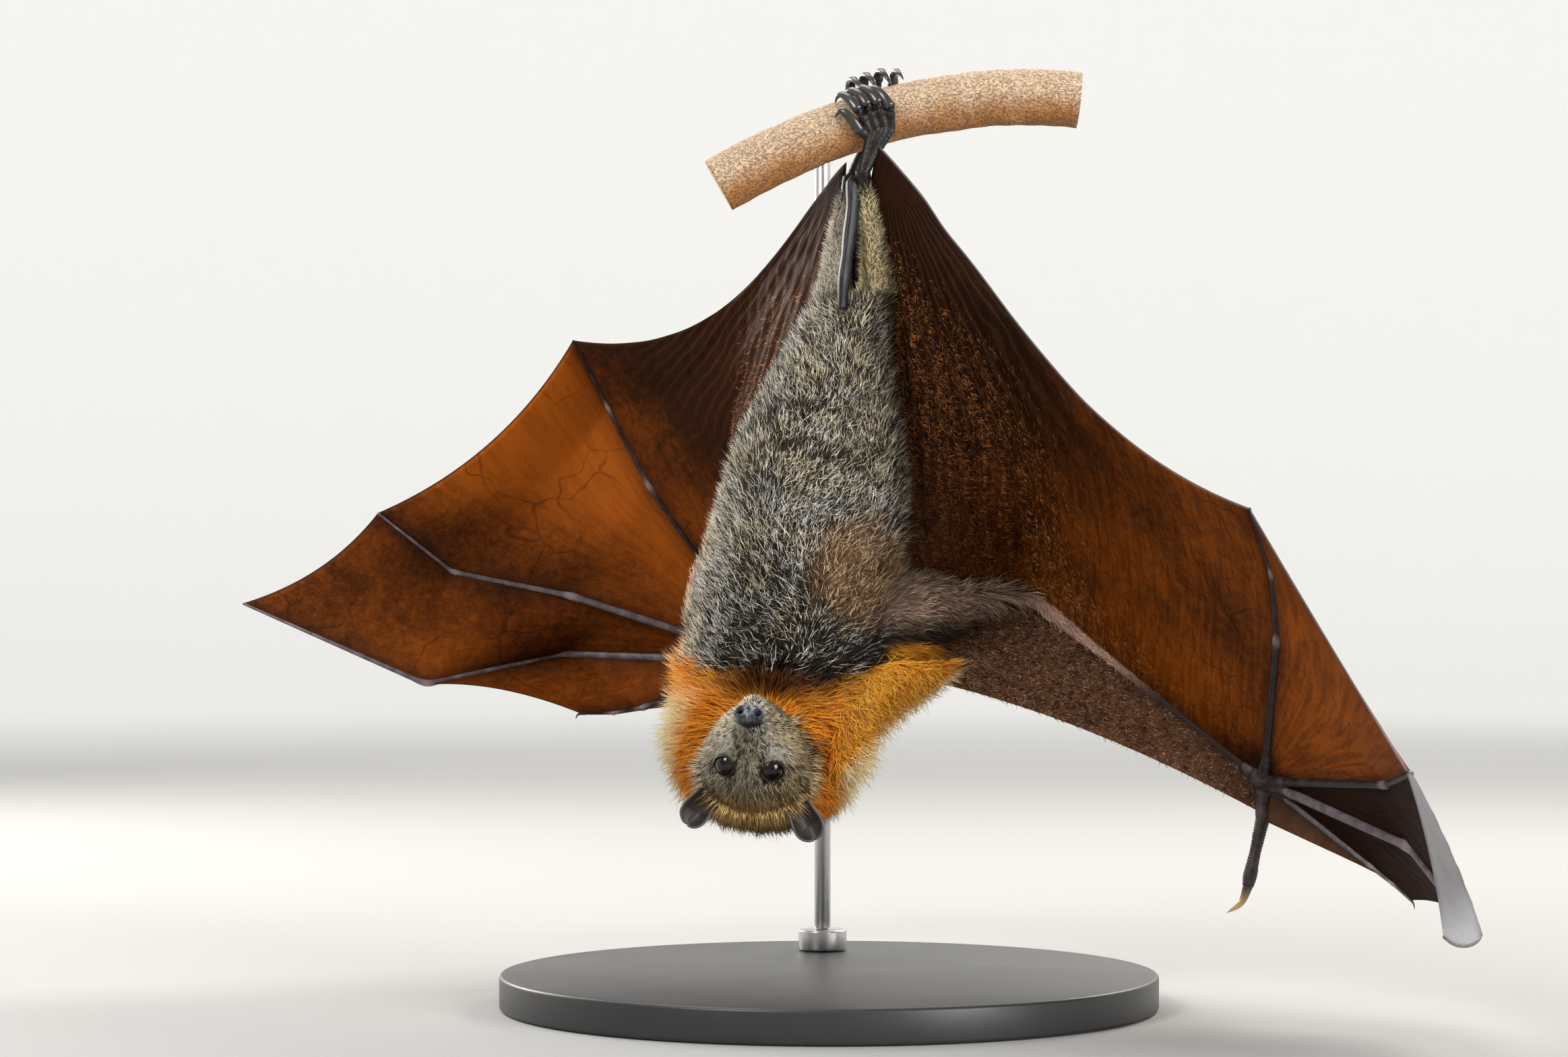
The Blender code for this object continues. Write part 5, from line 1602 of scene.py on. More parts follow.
def side_grid(side):
    joints = JOINTS[side]
    fifth = joints[5]
    flank = resample([Vector(row) for row in smooth_rows(FLANK[side], 30)], 64)
    upper_arm = joints["shoulder"].lerp(joints["elbow"], 0.45)
    arm = [Vector(flank[-1]), upper_arm, *elbow_points(joints, ELBOW_SHARES), joints["wrist"]]
    finger = resample(fifth[::-1], 64)
    edge = edge_arc(flank[0], fifth[-1], SIDE_SAG[side], SIDE_SKEW[side], 60)
    return coons(resample(edge, 96), resample(arm, 96), flank, finger)


def finger_path(side, digit):
    """The finger's joints, with the right third finger's last bone bowed outwards and rounded off."""
    chain = list(JOINTS[side][digit])
    if side == "right" and digit == 3:
        start, end = chain[2], chain[3] + Vector((-0.0015, 0, 0.0065))
        bows = ((0.25, (0.0062, 0, -0.0010)), (0.50, (0.0046, 0, -0.0050)), (0.75, (0.0010, 0, -0.0040)))
        chain = [*chain[:3], *(start.lerp(end, share) + Vector(bow) for share, bow in bows), end]
    return chain


def hand_grid(side, digit):
    near, far = finger_path(side, digit), finger_path(side, digit + 1)
    far = far[:3] if digit == 2 else far
    edge = edge_arc(near[-1], far[-1], HAND_SAG[side][digit], 1.0, 40)
    root = [near[0].lerp(near[1], 0.02), far[0].lerp(far[1], 0.02)]
    near, far = ([start, *path[1:]] for start, path in zip(root, (near, far)))
    return coons(resample(root, 40), resample(edge, 40), resample(near, 60), resample(far, 60))


def side_sheet(side):
    """The side membrane, filled and rippled, with pleats that fan out from the ankle."""
    grid = belly(side_grid(side), 0.0015, (0.0006 if side == "right" else 0.0011, 0.0100), 8)
    reach, turn = from_corner(grid)
    drift = soft_noise(grid.reshape(-1, 3), 0.06, 9).reshape(reach.shape)
    fade = ease(reach, 0.008, 0.050) * (1 - ease(reach, 0.11, 0.20))
    rise = (0.0010 if side == "right" else 0.0004) * np.sin(turn * 66 + 1.2 * drift) * fade
    return grid + grid_normals(grid) * rise[:, :, None]


def front_sheet(side):
    return belly(front_grid(side), 0.0010, (0.00025, 0.0110), 15)


def front_grid(side):
    joints = JOINTS[side]
    base = joints["thumb"][0].lerp(joints["thumb"][1], 0.8)
    root = Vector(FRONT_ROOT[side])
    lead = edge_arc(root, base, FRONT_SAG[side], 1.0, 40)
    shoulder = joints["shoulder"].lerp(joints["elbow"], 0.15)
    arm = [shoulder, *elbow_points(joints, ELBOW_SHARES), joints["wrist"]]
    near = [root, shoulder]
    far = [base, joints["wrist"]]
    return coons(resample(lead, 70), resample(arm, 70), resample(near, 24), resample(far, 24))


def build_wings():
    """The side, front and hand membranes of both wings."""
    sizes = bpy.context.scene.flying_fox
    dark, light = tuple(sizes.membrane_dark), tuple(sizes.membrane_light)
    tone = {
        "right": membrane_material("wing_skin_right", dark, light, 0.38),
        "left": membrane_material("wing_skin_left", tuple(1.4 * value for value in dark), light, 0.18),
    }
    grey = membrane_material("wing_skin_front", (0.075, 0.034, 0.017), (0.24, 0.115, 0.060), 0.12)
    for side in SIDES:
        warm = warm_of(side, 0.45 if side == "left" else 1.0)
        wing_sheet(f"side_membrane_{side}", side_sheet(side), side, tone[side], warm)
        for digit in (2, 3, 4):
            sheet = belly(hand_grid(side, digit), 0.0010 * SIGN[side], (0.00020, 0.0100), 9 + digit)
            warm = warm_of(side, 1.0 if side == "left" else HAND_WARMTH[digit])
            wing_sheet(f"membrane_{digit}_{digit + 1}_{side}", sheet, side, tone[side], warm)
        wing_sheet(f"front_membrane_{side}", front_sheet(side), side, grey, warm_of(side))


def finger_radius(digit, bone, along):
    start = BONE_RADIUS[digit] * (1.0, 0.72, 0.5)[bone]
    end = (BONE_RADIUS[digit] * (0.8, 0.55)[bone]) if bone < 2 else TIP_RADIUS
    swell = 0.0
    if bone < 2:
        swell = math.exp(-(((1 - along) / 0.045) ** 2))
    if bone > 0:
        swell = max(swell, math.exp(-((along / 0.05) ** 2)))
    return (start + (end - start) * along) * (1 + 0.42 * swell)


def build_fingers():
    """The long wing fingers, with knuckles."""
    # The pale and the dark finger skins are one bone skin in two tones, a lit and a shaded copy given finger by
    # finger: partly the bones' own tone and partly painted light and shade.
    pale = bare_material("finger_skin_pale", (0.090, 0.070, 0.075), (0.200, 0.165, 0.180), 0.36)
    dusky = bare_material("finger_skin_dark", (0.012, 0.008, 0.008), (0.045, 0.032, 0.031), 0.38, shine=0.28)
    for side in SIDES:
        for digit in DIGITS:
            path, radii = [], []
            chain = finger_path(side, digit)
            for bone in range(3):
                start, end = chain[bone], chain[bone + 1] if bone < 2 else chain[-1]
                shares = np.unique(np.r_[0, np.linspace(0, 1, 12), 0.03, 0.06, 0.10, 0.90, 0.94, 0.97])
                last = resample(chain[2:], 101)
                for share in shares[(shares > 0.035) | (bone > 0)][: None if bone == 2 else -1]:
                    path.append(start.lerp(end, share) if bone < 2 else Vector(last[int(round(share * 100))]))
                    radii.append(finger_radius(digit, bone, share))
            table = as_array(path)
            for _ in range(2):
                table[1:-1] = 0.25 * table[:-2] + 0.5 * table[1:-1] + 0.25 * table[2:]
            points, faces = tube(table, radii, 12, 0.92)
            tone = dusky if digit == 5 or (digit, side) in ((4, "right"), (2, "left")) else pale
            node = f"digit_{digit}_{side}"
            finger = add_mesh(node, points, faces, tone, (node,))
            gaps = np.linalg.norm(as_array(points)[:, None] - as_array(chain[1:3])[None], axis=2)
            write_values(finger.data, "knob", np.exp(-((gaps.min(axis=1) / 0.0035) ** 2)))


def build_thumb_webs():
    """The small dark skin between each thumb and the second finger."""
    tone = bpy.data.materials["wing_skin_front"]
    for side in SIDES:
        joints = JOINTS[side]
        knuckle = joints["thumb"][1]
        end = joints[2][1].lerp(joints[2][2], 0.5)
        shares = np.linspace(0, 1, 40)
        bone = resample([joints["wrist"], joints[2][1], end], 40)
        edge = as_array([knuckle.lerp(end, share) for share in shares])
        blend = np.linspace(0, 1, 12)[:, None, None]
        grid = edge[None] * (1 - blend) + bone[None] * blend
        wing_sheet(f"thumb_web_{side}", grid, side, tone, warm_of(side), nodes=())


def one_skin(piece, rounds):
    """Remakes a piece's overlapping parts as one skin, and gives its points smoothed."""
    apply_step(piece, "REMESH", mode="VOXEL", voxel_size=BARE_VOXEL)
    return taubin(points_of(piece.data), edges_of(piece.data), rounds)


def build_hands():
    """The wrist and the thumb of each wing as one bare skin."""
    tone = bare_material("hand_skin", (0.018, 0.012, 0.011), (0.070, 0.050, 0.046), 0.42, 0.0010)
    for side in SIDES:
        nodes = (f"wrist_{side}", f"thumb_{side}")
        hand = copy_of_nodes(f"hand_{side}", nodes)
        joints = JOINTS[side]
        first, last = joints["thumb"][1], joints["thumb"][2]
        thumb = [first, first.lerp(last, 0.5), first.lerp(last, 0.86), last]
        parts = [tube([joints["wrist"], *joints["thumb"][:2]], [0.0046, 0.0042, 0.0034], 12)]
        parts.append(tube(thumb, [0.0034, 0.0028, 0.0034, 0.0026], 12))
        for digit in DIGITS:
            start, end = joints[digit][0], joints[digit][1]
            parts.append(tube([start, start.lerp(end, 0.12), start.lerp(end, 0.2)], [0.0040, 0.0031, 0.0020], 10))
        forearm = joints["elbow"].lerp(joints["wrist"], 0.92)
        parts.append(tube([forearm, joints["wrist"]], [0.0036, 0.0052], 12))
        points, faces = gather(parts)
        extra = add_mesh("hand_extra", points, faces, tone)
        only(hand, extra)
        bpy.ops.object.join()
        table = one_skin(hand, 12)
        mesh = hand.data
        chain = joints["thumb"]
        along = (table - np.array(chain[1])) @ np.array(unit(chain[2] - chain[1]))
        ridge = np.sin(along / 0.0013 * 2 * math.pi) * ease(along, 0.0, 0.004) * (1 - ease(along, 0.026, 0.031))
        move_points(mesh, table)
        rise = ridge * 0.00022 + 0.00012 * soft_noise(table, 0.003, 4)
        move_points(mesh, table + normals_of(mesh) * rise[:, None])
        shade_smooth(mesh)
        finish_piece(hand, tone, nodes)


def claw_mesh(name, path, radius, side_way, golden, nodes=()):
    """A hooked claw, deeper than it is wide, from its root to its point."""
    table = smooth_rows(path, 16)
    shares = np.linspace(0, 1, 16)
    radii = radius * (1 - shares**1.5) ** 0.8 + 0.00012
    points, faces = tube(table, radii, 12, 0.68, side_way)
    claw = add_mesh(name, points, faces, bpy.data.materials.get("claw_horn") or claw_material(), nodes)
    tips = np.r_[np.repeat(shares, 12), 0.0, 1.0]
    write_values(claw.data, "tip", tips)
    write_values(claw.data, "golden", np.full(len(tips), golden))
    return claw


def build_claws():
    """The thumb claws, the second fingers' small claws and the ten toe claws."""
    for side in SIDES:
        joints = JOINTS[side]
        root, middle, end = joints["thumb_claw"]
        start = joints["thumb"][2].lerp(joints["thumb"][1], 0.06)
        way = (middle - root).normalized().cross(end - middle).normalized()
        claw_mesh(f"claw_thumb_{side}", [start, root, middle, end], 0.0029, way, 1.0, (f"thumb_claw_{side}",))
        tip = joints[2][3]
        ahead = (tip - joints[2][2]).normalized()
        down = Vector((0, 0, -1))
        hook = [tip - ahead * 0.002, tip]
        hook += [tip + ahead * far + down * low for far, low in ((0.0022, 0.0006), (0.0032, 0.0026))]
        claw_mesh(f"claw_finger_{side}", hook, 0.0008, ahead.cross(down).normalized(), 0.0)
        front = SIGN[side]
        for number, row in enumerate(TOES[side], 1):
            way = perch_out(row[1], math.radians(row[3]), front)
            claw_mesh(f"claw_toe_{number}_{side}", claw_path(row, front), 0.0024, way, 0.15)


# Feet


def perch_centre(x):
    return Vector((x, 0, PERCH_CROWN[1] - PERCH_ARCH * (x - PERCH_CROWN[0]) ** 2))


def perch_up(x):
    along = Vector((1, 0, -2 * PERCH_ARCH * (x - PERCH_CROWN[0]))).normalized()
    return Vector((-along.z, 0, along.x))


def perch_out(x, angle, front):
    return Vector((0, -front, 0)) * math.cos(angle) + perch_up(x) * math.sin(angle)


def round_perch(x, angle, off, front):
    """A point beside the perch. The angle is 0 at its middle height and 90 degrees at its top."""
    return perch_centre(x) + perch_out(x, angle, front) * (PERCH_RADIUS + off)


def claw_path(row, front):
    _, tip_x, _, high = row
    over = front < 0
    path = [round_perch(tip_x, math.radians(high - 4), TOE_RADIUS + (0.0050 if over else 0.0012), front)]
    hook = ((0.22, 0.0030, 0.0074), (0.55, 0.0034, 0.0062), (0.82, 0.0020, 0.0034), (1.0, 0.0002, 0.0004))
    for share, rise, tall in hook:
        x = tip_x + (0.0042 if over else -CLAW_REACH) * share
        angle = math.radians(high + (52 * share if over else 40 * math.sin(share * 2.1)))
        path.append(round_perch(x, angle, (tall if over else rise) + 0.0008, front))
    return path


def toe_parts(row, front):
    """One toe, with its knuckles."""
    root_x, tip_x, low, high = row
    path, radii = [], []
    for share in np.linspace(TOE_START, 1.0, 16):
        x = root_x + (tip_x - root_x) * share
        angle = math.radians(low + (high - low) * share)
        knuckle = math.exp(-(((share - 0.55) / 0.10) ** 2)) + 0.9 * math.exp(-(((share - 0.97) / 0.10) ** 2))
        radius = TOE_RADIUS * ((1.08 if front < 0 else 0.92) - 0.10 * share + 0.30 * knuckle)
        rise = 0.0062 * math.exp(-(((share - 0.82) / 0.30) ** 2)) if front < 0 else 0
        path.append(round_perch(x, angle, radius * 0.92 + rise, front))
        radii.append(radius)
    return tube(path, radii, 12)


def build_feet():
    """Each foot's sole and toes, closed on the branch."""
    tone = bare_material("foot_skin", (0.005, 0.004, 0.004), (0.024, 0.019, 0.018), 0.32, 0.0009, 0.3)
    for side in SIDES:
        front = SIGN[side]
        start, shin = Vector(ANKLES[side][0]), Vector(ANKLES[side][1])
        heel = shin + (shin - start).normalized() * 0.005
        parts = [toe_parts(row, front) for row in TOES[side]]
        parts.append(tube([start, shin, shin.lerp(heel, 0.5), heel], [0.0030, 0.0034, 0.0036, 0.0036], 14))
        for root_x, tip_x, angle, _ in TOES[side]:
            x = root_x + (tip_x - root_x) * TOE_START
            knuckle = round_perch(x, math.radians(angle - 8), 0.0024, front)
            path = [heel - Vector((0, 0, 0.002)), heel.lerp(knuckle, 0.5), knuckle]
            parts.append(tube(path, [0.0030, 0.0023, 0.0021], 12))
        points, faces = gather(parts)
        foot = add_mesh(f"sole_{side}", points, faces, tone)
        table = one_skin(foot, 5)
        mesh = foot.data
        table = table + normals_of(mesh) * (0.00010 * soft_noise(table, 0.0016, 7))[:, None]
        move_points(mesh, table)
        shade_smooth(mesh)
        finish_piece(foot, tone, (f"foot_{side}",))


def build_tail_fold():
    """The bare fold on its spur between the legs, with a ridge down it."""
    rows = (
        (0.0114, -0.0110, 0.3905),
        (0.0108, -0.0135, 0.3750),
        (0.0088, -0.0165, 0.3580),
        (0.0068, -0.0205, 0.3420),
        (0.0058, -0.0205, 0.3270),
    )
    rings, sides = 40, 20
    path = smooth_rows(rows, rings)
    shares = np.linspace(0, 1, rings)
    radii = (0.0034 - 0.0011 * shares + 0.0002 * np.sin(shares * 19)) * (0.35 + 0.65 * ease(shares, 0.0, 0.06))
    points, faces = tube(path, radii, sides, 1.0, (1, 0, 0))
    table = as_array(points)
    angle = 2 * math.pi * np.arange(sides) / sides
    ridge = 0.94 + 0.12 * np.cos(angle * 2) + 0.12 * np.cos(angle * 3 + 0.6) + 0.03 * np.cos(angle * 6)
    for start in range(0, rings * sides, sides):
        ring = table[start : start + sides]
        middle = ring.mean(axis=0)
        table[start : start + sides] = middle + (ring - middle) * ridge[:, None]
    tone = bare_material("fold_skin", (0.004, 0.004, 0.005), (0.017, 0.016, 0.022), 0.30)
    add_mesh("tail_fold", table, faces, tone, ("tail_membrane_fold",))
    left = (
        (0.0090, 0.0150, 0.3900),
        (0.0040, 0.0130, 0.3700),
        (-0.0020, 0.0100, 0.3450),
        (-0.0080, 0.0060, 0.3260),
    )
    right = (
        (0.0160, -0.0030, 0.3860),
        (0.0190, 0.0010, 0.3700),
        (0.0180, 0.0040, 0.3450),
        (0.0150, 0.0060, 0.3260),
    )
    left, right = smooth_rows(left, 40), smooth_rows(right, 40)
    shares = np.linspace(0, 1, 16)[None, :, None]
    web = left[:, None] * (1 - shares) + right[:, None] * shares
    web[:, :, 1] += 0.004 * np.sin(math.pi * shares[:, :, 0]) + 0.0006 * np.sin(shares[:, :, 0] * 17)
    leg_web = add_mesh("leg_web", web.reshape(-1, 3), grid_faces(*web.shape[:2]), tone, ())
    apply_step(leg_web, "SOLIDIFY", thickness=0.0006, offset=0.0)


# Face pieces


def polar_patch(centre, look, across, radii, rings, spokes, height):
    """A patch of rings round a direction. The height gives each point's rise for its ring and spoke."""
    up = look.cross(across).normalized()
    points = []
    for j in range(rings + 1):
        for i in range(spokes):
            angle = 2 * math.pi * i / spokes
            reach = radii(j / rings, angle)
            flat = across * (reach * math.cos(angle)) + up * (reach * math.sin(angle))
            points.append(centre + flat + look * height(j / rings, angle, reach))
    return points, ring_faces(rings, spokes)


def build_eyes():
    """The eyeballs and the black lids round them."""
    tone = eye_material()
    lid_tone = bare_material("lid_skin", (0.006, 0.005, 0.005), (0.028, 0.022, 0.020), 0.36)
    for side in SIDES:
        centre, look = eye_centre(side), eye_look(side)
        radius = EYE_RADIUS - 0.0001
        ball = primitive(
            "uv_sphere", f"eyeball_{side}", segments=48, ring_count=32, radius=radius, location=centre
        )
        away = (points_of(ball.data) - np.array(centre)) / EYE_RADIUS
        ahead = away @ np.array(look)
        sight = np.linalg.norm(away - ahead[:, None] * np.array(look), axis=1)
        write_values(ball.data, "sight", np.where(ahead > 0, sight, 1.0))
        write_values(ball.data, "spoke", unit_rows(away), "FLOAT_VECTOR")
        shade_smooth(ball.data)
        finish_piece(ball, tone, (f"eye_{side}",))
        across = -eye_corner(side)
        shell = EYE_RADIUS + 0.00035

        def opening(angle):
            return 1 / math.sqrt((math.cos(angle) / 0.0054) ** 2 + (math.sin(angle) / 0.0045) ** 2)

        def radii(share, angle):
            corner = 0.0024 * math.exp(-(((angle - math.pi) / 0.5) ** 2))
            return opening(angle) + (0.0071 + corner - opening(angle)) * share**1.15

        def height(share, angle, reach):
            ball_height = math.sqrt(max(shell**2 - min(reach, shell * 0.93) ** 2, 0.0))
            rim = -0.0003 if share == 0 else 0.00032 * math.exp(-(((share - 0.08) / 0.12) ** 2))
            return ball_height + rim - 0.0016 * share**2

        points, faces = polar_patch(centre, look, across, radii, 14, 48, height)
        lids = add_mesh(f"eyelids_{side}", points, faces, lid_tone, ())
        clean(lids, outwards=True)
        apply_step(lids, "SOLIDIFY", thickness=0.0004, offset=-1.0)


def build_nose():
    """The bare nose: two round nostrils that open sideways, and the groove between them."""
    tone = nose_material()
    rings, spokes = 44, 80
    dark, points = [], []
    centre = NOSE_TIP - FORWARD * 0.0024
    for j in range(rings + 1):
        share = (j / rings) ** 0.8
        for i in range(spokes):
            angle = 2 * math.pi * i / spokes
            across = 0.0074 * share * math.cos(angle)
            dark.append(0.0)
            high = (0.0054 if math.sin(angle) > 0 else 0.0048) * share * math.sin(angle)
            rise = 0.0034 * math.sqrt(max(1 - share**2.6, 0.0)) - 0.0034 * ease(np.array(share), 0.86, 1.0)
            for sign in (-1, 1):
                dx, dz = (across - sign * 0.0042) / 0.0019, (high - 0.0004) / 0.0019
                gap = math.hypot(dx, dz)
                rise += 0.0009 * math.exp(-(((gap - 1.30) / 0.38) ** 2))
                upper_lip = 0.8 * math.exp(-(((high - 0.0034) / 0.0016) ** 2))
                dark[-1] = max(dark[-1], math.exp(-((gap / 0.95) ** 4)), upper_lip)
                rise -= 0.0036 * math.exp(-((gap / 0.80) ** 3))
                slit = math.hypot((across - sign * 0.0062) / 0.0016, (high + 0.0006) / 0.0008)
                rise -= 0.0014 * math.exp(-(slit**2))
            rise -= 0.0010 * math.exp(-((across / 0.00055) ** 2)) * (0.4 + 0.6 * share)
            points.append(centre + ACROSS * across + CROWN * high + FORWARD * rise)
    nose = add_mesh("nose", points, ring_faces(rings, spokes), tone, ("nose_pad",))
    write_values(nose.data, "pit", np.array(dark))
    clean(nose, merge=True, outwards=True)
    apply_step(nose, "SOLIDIFY", thickness=0.0012, offset=-1.0)


def build_ears():
    """Rounded cups of dark skin with a thin rolled rim."""
    tone = ear_material()
    columns, rows = 28, 30
    for side in SIDES:
        sign = SIGN[side]
        root, tip = ear_place(EAR_ROOT, side), ear_place(EAR_TIP, side)
        shift = Vector((0.0020 if sign > 0 else 0.0010, 0, -0.0018))
        root, tip = root.lerp(tip, 0.18) + shift, tip + shift
        grow_way = (tip - root).normalized()
        open_way = (FORWARD * 0.75 + ACROSS * 0.25 * sign + CROWN * 0.55).normalized()
        across = grow_way.cross(open_way).normalized()
        open_way = across.cross(grow_way).normalized()
        open_way = open_way if open_way.dot(FORWARD) > 0 else -open_way
        points, rims = [], []
        for j in range(rows + 1):
            along = 1 - (1 - j / rows) ** 1.7
            half = EAR_HALF_WIDTH * math.sqrt(max(1 - (max(along - 0.62, 0) / 0.381) ** 2, 0.004))
            half *= 0.84 + 0.16 * float(ease(np.array(along), 0.10, 0.55))
            for i in range(columns + 1):
                u = 2 * i / columns - 1
                cup = 0.55 * half * u * u + 0.0022 * max(along - 0.66, 0) / 0.34
                cup -= 0.0016 * math.exp(-((u / 0.6) ** 2)) * (1 - along) ** 0.5
                rims.append(max(abs(u), max(along - 0.62, 0) / 0.38) ** 14)
                roll = 0.0006 * math.exp(-(((1 - abs(u)) / 0.12) ** 2))
                points.append(root.lerp(tip, along) + across * (half * u) + open_way * (cup + roll))
        faces = grid_faces(rows + 1, columns + 1)
        ear = add_mesh(f"ear_cup_{side}", points, faces, tone, (f"ear_{side}",))
        write_values(ear.data, "rim", np.array(rims))
        clean(ear, outwards=True)
        apply_step(ear, "SOLIDIFY", thickness=0.0010, offset=0.0)
        apply_step(ear, "SUBSURF", levels=1, render_levels=1)


# Perch and stand


def build_perch():
    """The cut length of pale branch: bark with small scars, and sawn ends."""
    low, high = PERCH_ENDS
    sides, radius, turn = 72, PERCH_RADIUS, (0, math.pi / 2, 0)
    perch = primitive("cylinder", "perch_bark", vertices=sides, radius=radius, depth=high - low, rotation=turn)
    bm = bmesh.new()
    bm.from_mesh(perch.data)
    for place in np.linspace(0, 1, 142)[1:-1]:
        x = (place - 0.5) * (high - low)
        geometry = bm.verts[:] + bm.edges[:] + bm.faces[:]
        bmesh.ops.bisect_plane(bm, geom=geometry, plane_co=(x, 0, 0), plane_no=(1, 0, 0))
    ends = [face for face in bm.faces if len(face.verts) == sides]
    bmesh.ops.inset_individual(bm, faces=ends, thickness=0.0012)
    bm.to_mesh(perch.data)
    bm.free()
    table = points_of(perch.data)
    x = table[:, 0] + (low + high) / 2
    radial = np.hypot(table[:, 1], table[:, 2])
    angle = np.arctan2(table[:, 2], -table[:, 1])
    gripped = 1 - ease(np.abs(x - 0.020), 0.018, 0.030)
    straight = np.stack([x, radial * np.cos(angle), radial * np.sin(angle)], axis=1)
    lumps = 0.00042 * soft_noise(straight, 0.012, 1)
    knot = 0.0012 * np.exp(-(((x - 0.085) / 0.004) ** 2) - ((np.abs(angle + 1.1)) / 0.35) ** 2)
    knot = knot + 0.0009 * np.exp(-(((x + 0.030) / 0.003) ** 2) - ((np.abs(angle - 0.5)) / 0.30) ** 2)
    grown = radial * (1 - 0.02 * gripped) + (lumps * (1 - 0.85 * gripped) + knot * (1 - gripped)) * (radial > 0.010)
    centre = as_array([perch_centre(value) for value in x])
    up = as_array([perch_up(value) for value in x])
    placed = centre + up * (grown * np.sin(angle))[:, None]
    placed[:, 1] -= grown * np.cos(angle)
    move_points(perch.data, placed)
    # The under mark, highest under the branch: partly the bark's own warmer tone, partly painted shade.
    write_values(perch.data, "under", np.clip(0.5 - 0.85 * np.sin(angle), 0, 1))
    write_values(perch.data, "ring", radial / PERCH_RADIUS)
    shade_smooth(perch.data)
    finish_piece(perch, bark_material(), ("perch",))
    perch.data.materials.append(cut_wood_material())
    for face in perch.data.polygons:
        if len(face.vertices) == sides:
            face.material_index = 1
            face.use_smooth = False


def turned_rod(name, start, end, radius, sides, tone, nodes, bevel):
    """A round bar between two points with softened ends."""
    start, end = Vector(start), Vector(end)
    turn = Vector((0, 0, 1)).rotation_difference(end - start).to_euler()
    place = {"depth": (end - start).length, "location": (start + end) / 2, "rotation": turn}
    bar = primitive("cylinder", name, vertices=sides, radius=radius, **place)
    apply_step(bar, "BEVEL", width=bevel, segments=3, limit_method="ANGLE", angle_limit=math.radians(50))
    only(bar)
    bpy.ops.object.shade_smooth_by_angle(angle=math.radians(35))
    return finish_piece(bar, tone, nodes)


def build_stand():
    """The round base, the collar, the post and the arm that hold up the branch."""
    steel, paint = steel_material(), board_material()
    for node, sides, tone, slot, bevel in (
        ("stand_base", 160, paint, "stand_black", 0.0016),
        ("stand_collar", 64, steel, "stand_steel", 0.0008),
        ("stand_post", 40, steel, "stand_steel", 0.0006),
    ):
        low, high = (Vector(corner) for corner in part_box(node))
        middle = (low + high) / 2
        radius = (high.x - low.x) / 2
        foot, top = Vector((middle.x, middle.y, low.z)), Vector((middle.x, middle.y, high.z))
        turned_rod(f"{node}_turned", foot, top, radius, sides, tone, (node,), bevel)
    low, high = (Vector(corner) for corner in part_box("stand_arm"))
    middle = (low + high) / 2
    start, end = Vector((middle.x, high.y, middle.z)), Vector((middle.x, low.y - 0.0006, middle.z))
    turned_rod("stand_arm_turned", start, end, (high.z - low.z) / 2, 40, steel, ("stand_arm",), 0.0004)


# Stage


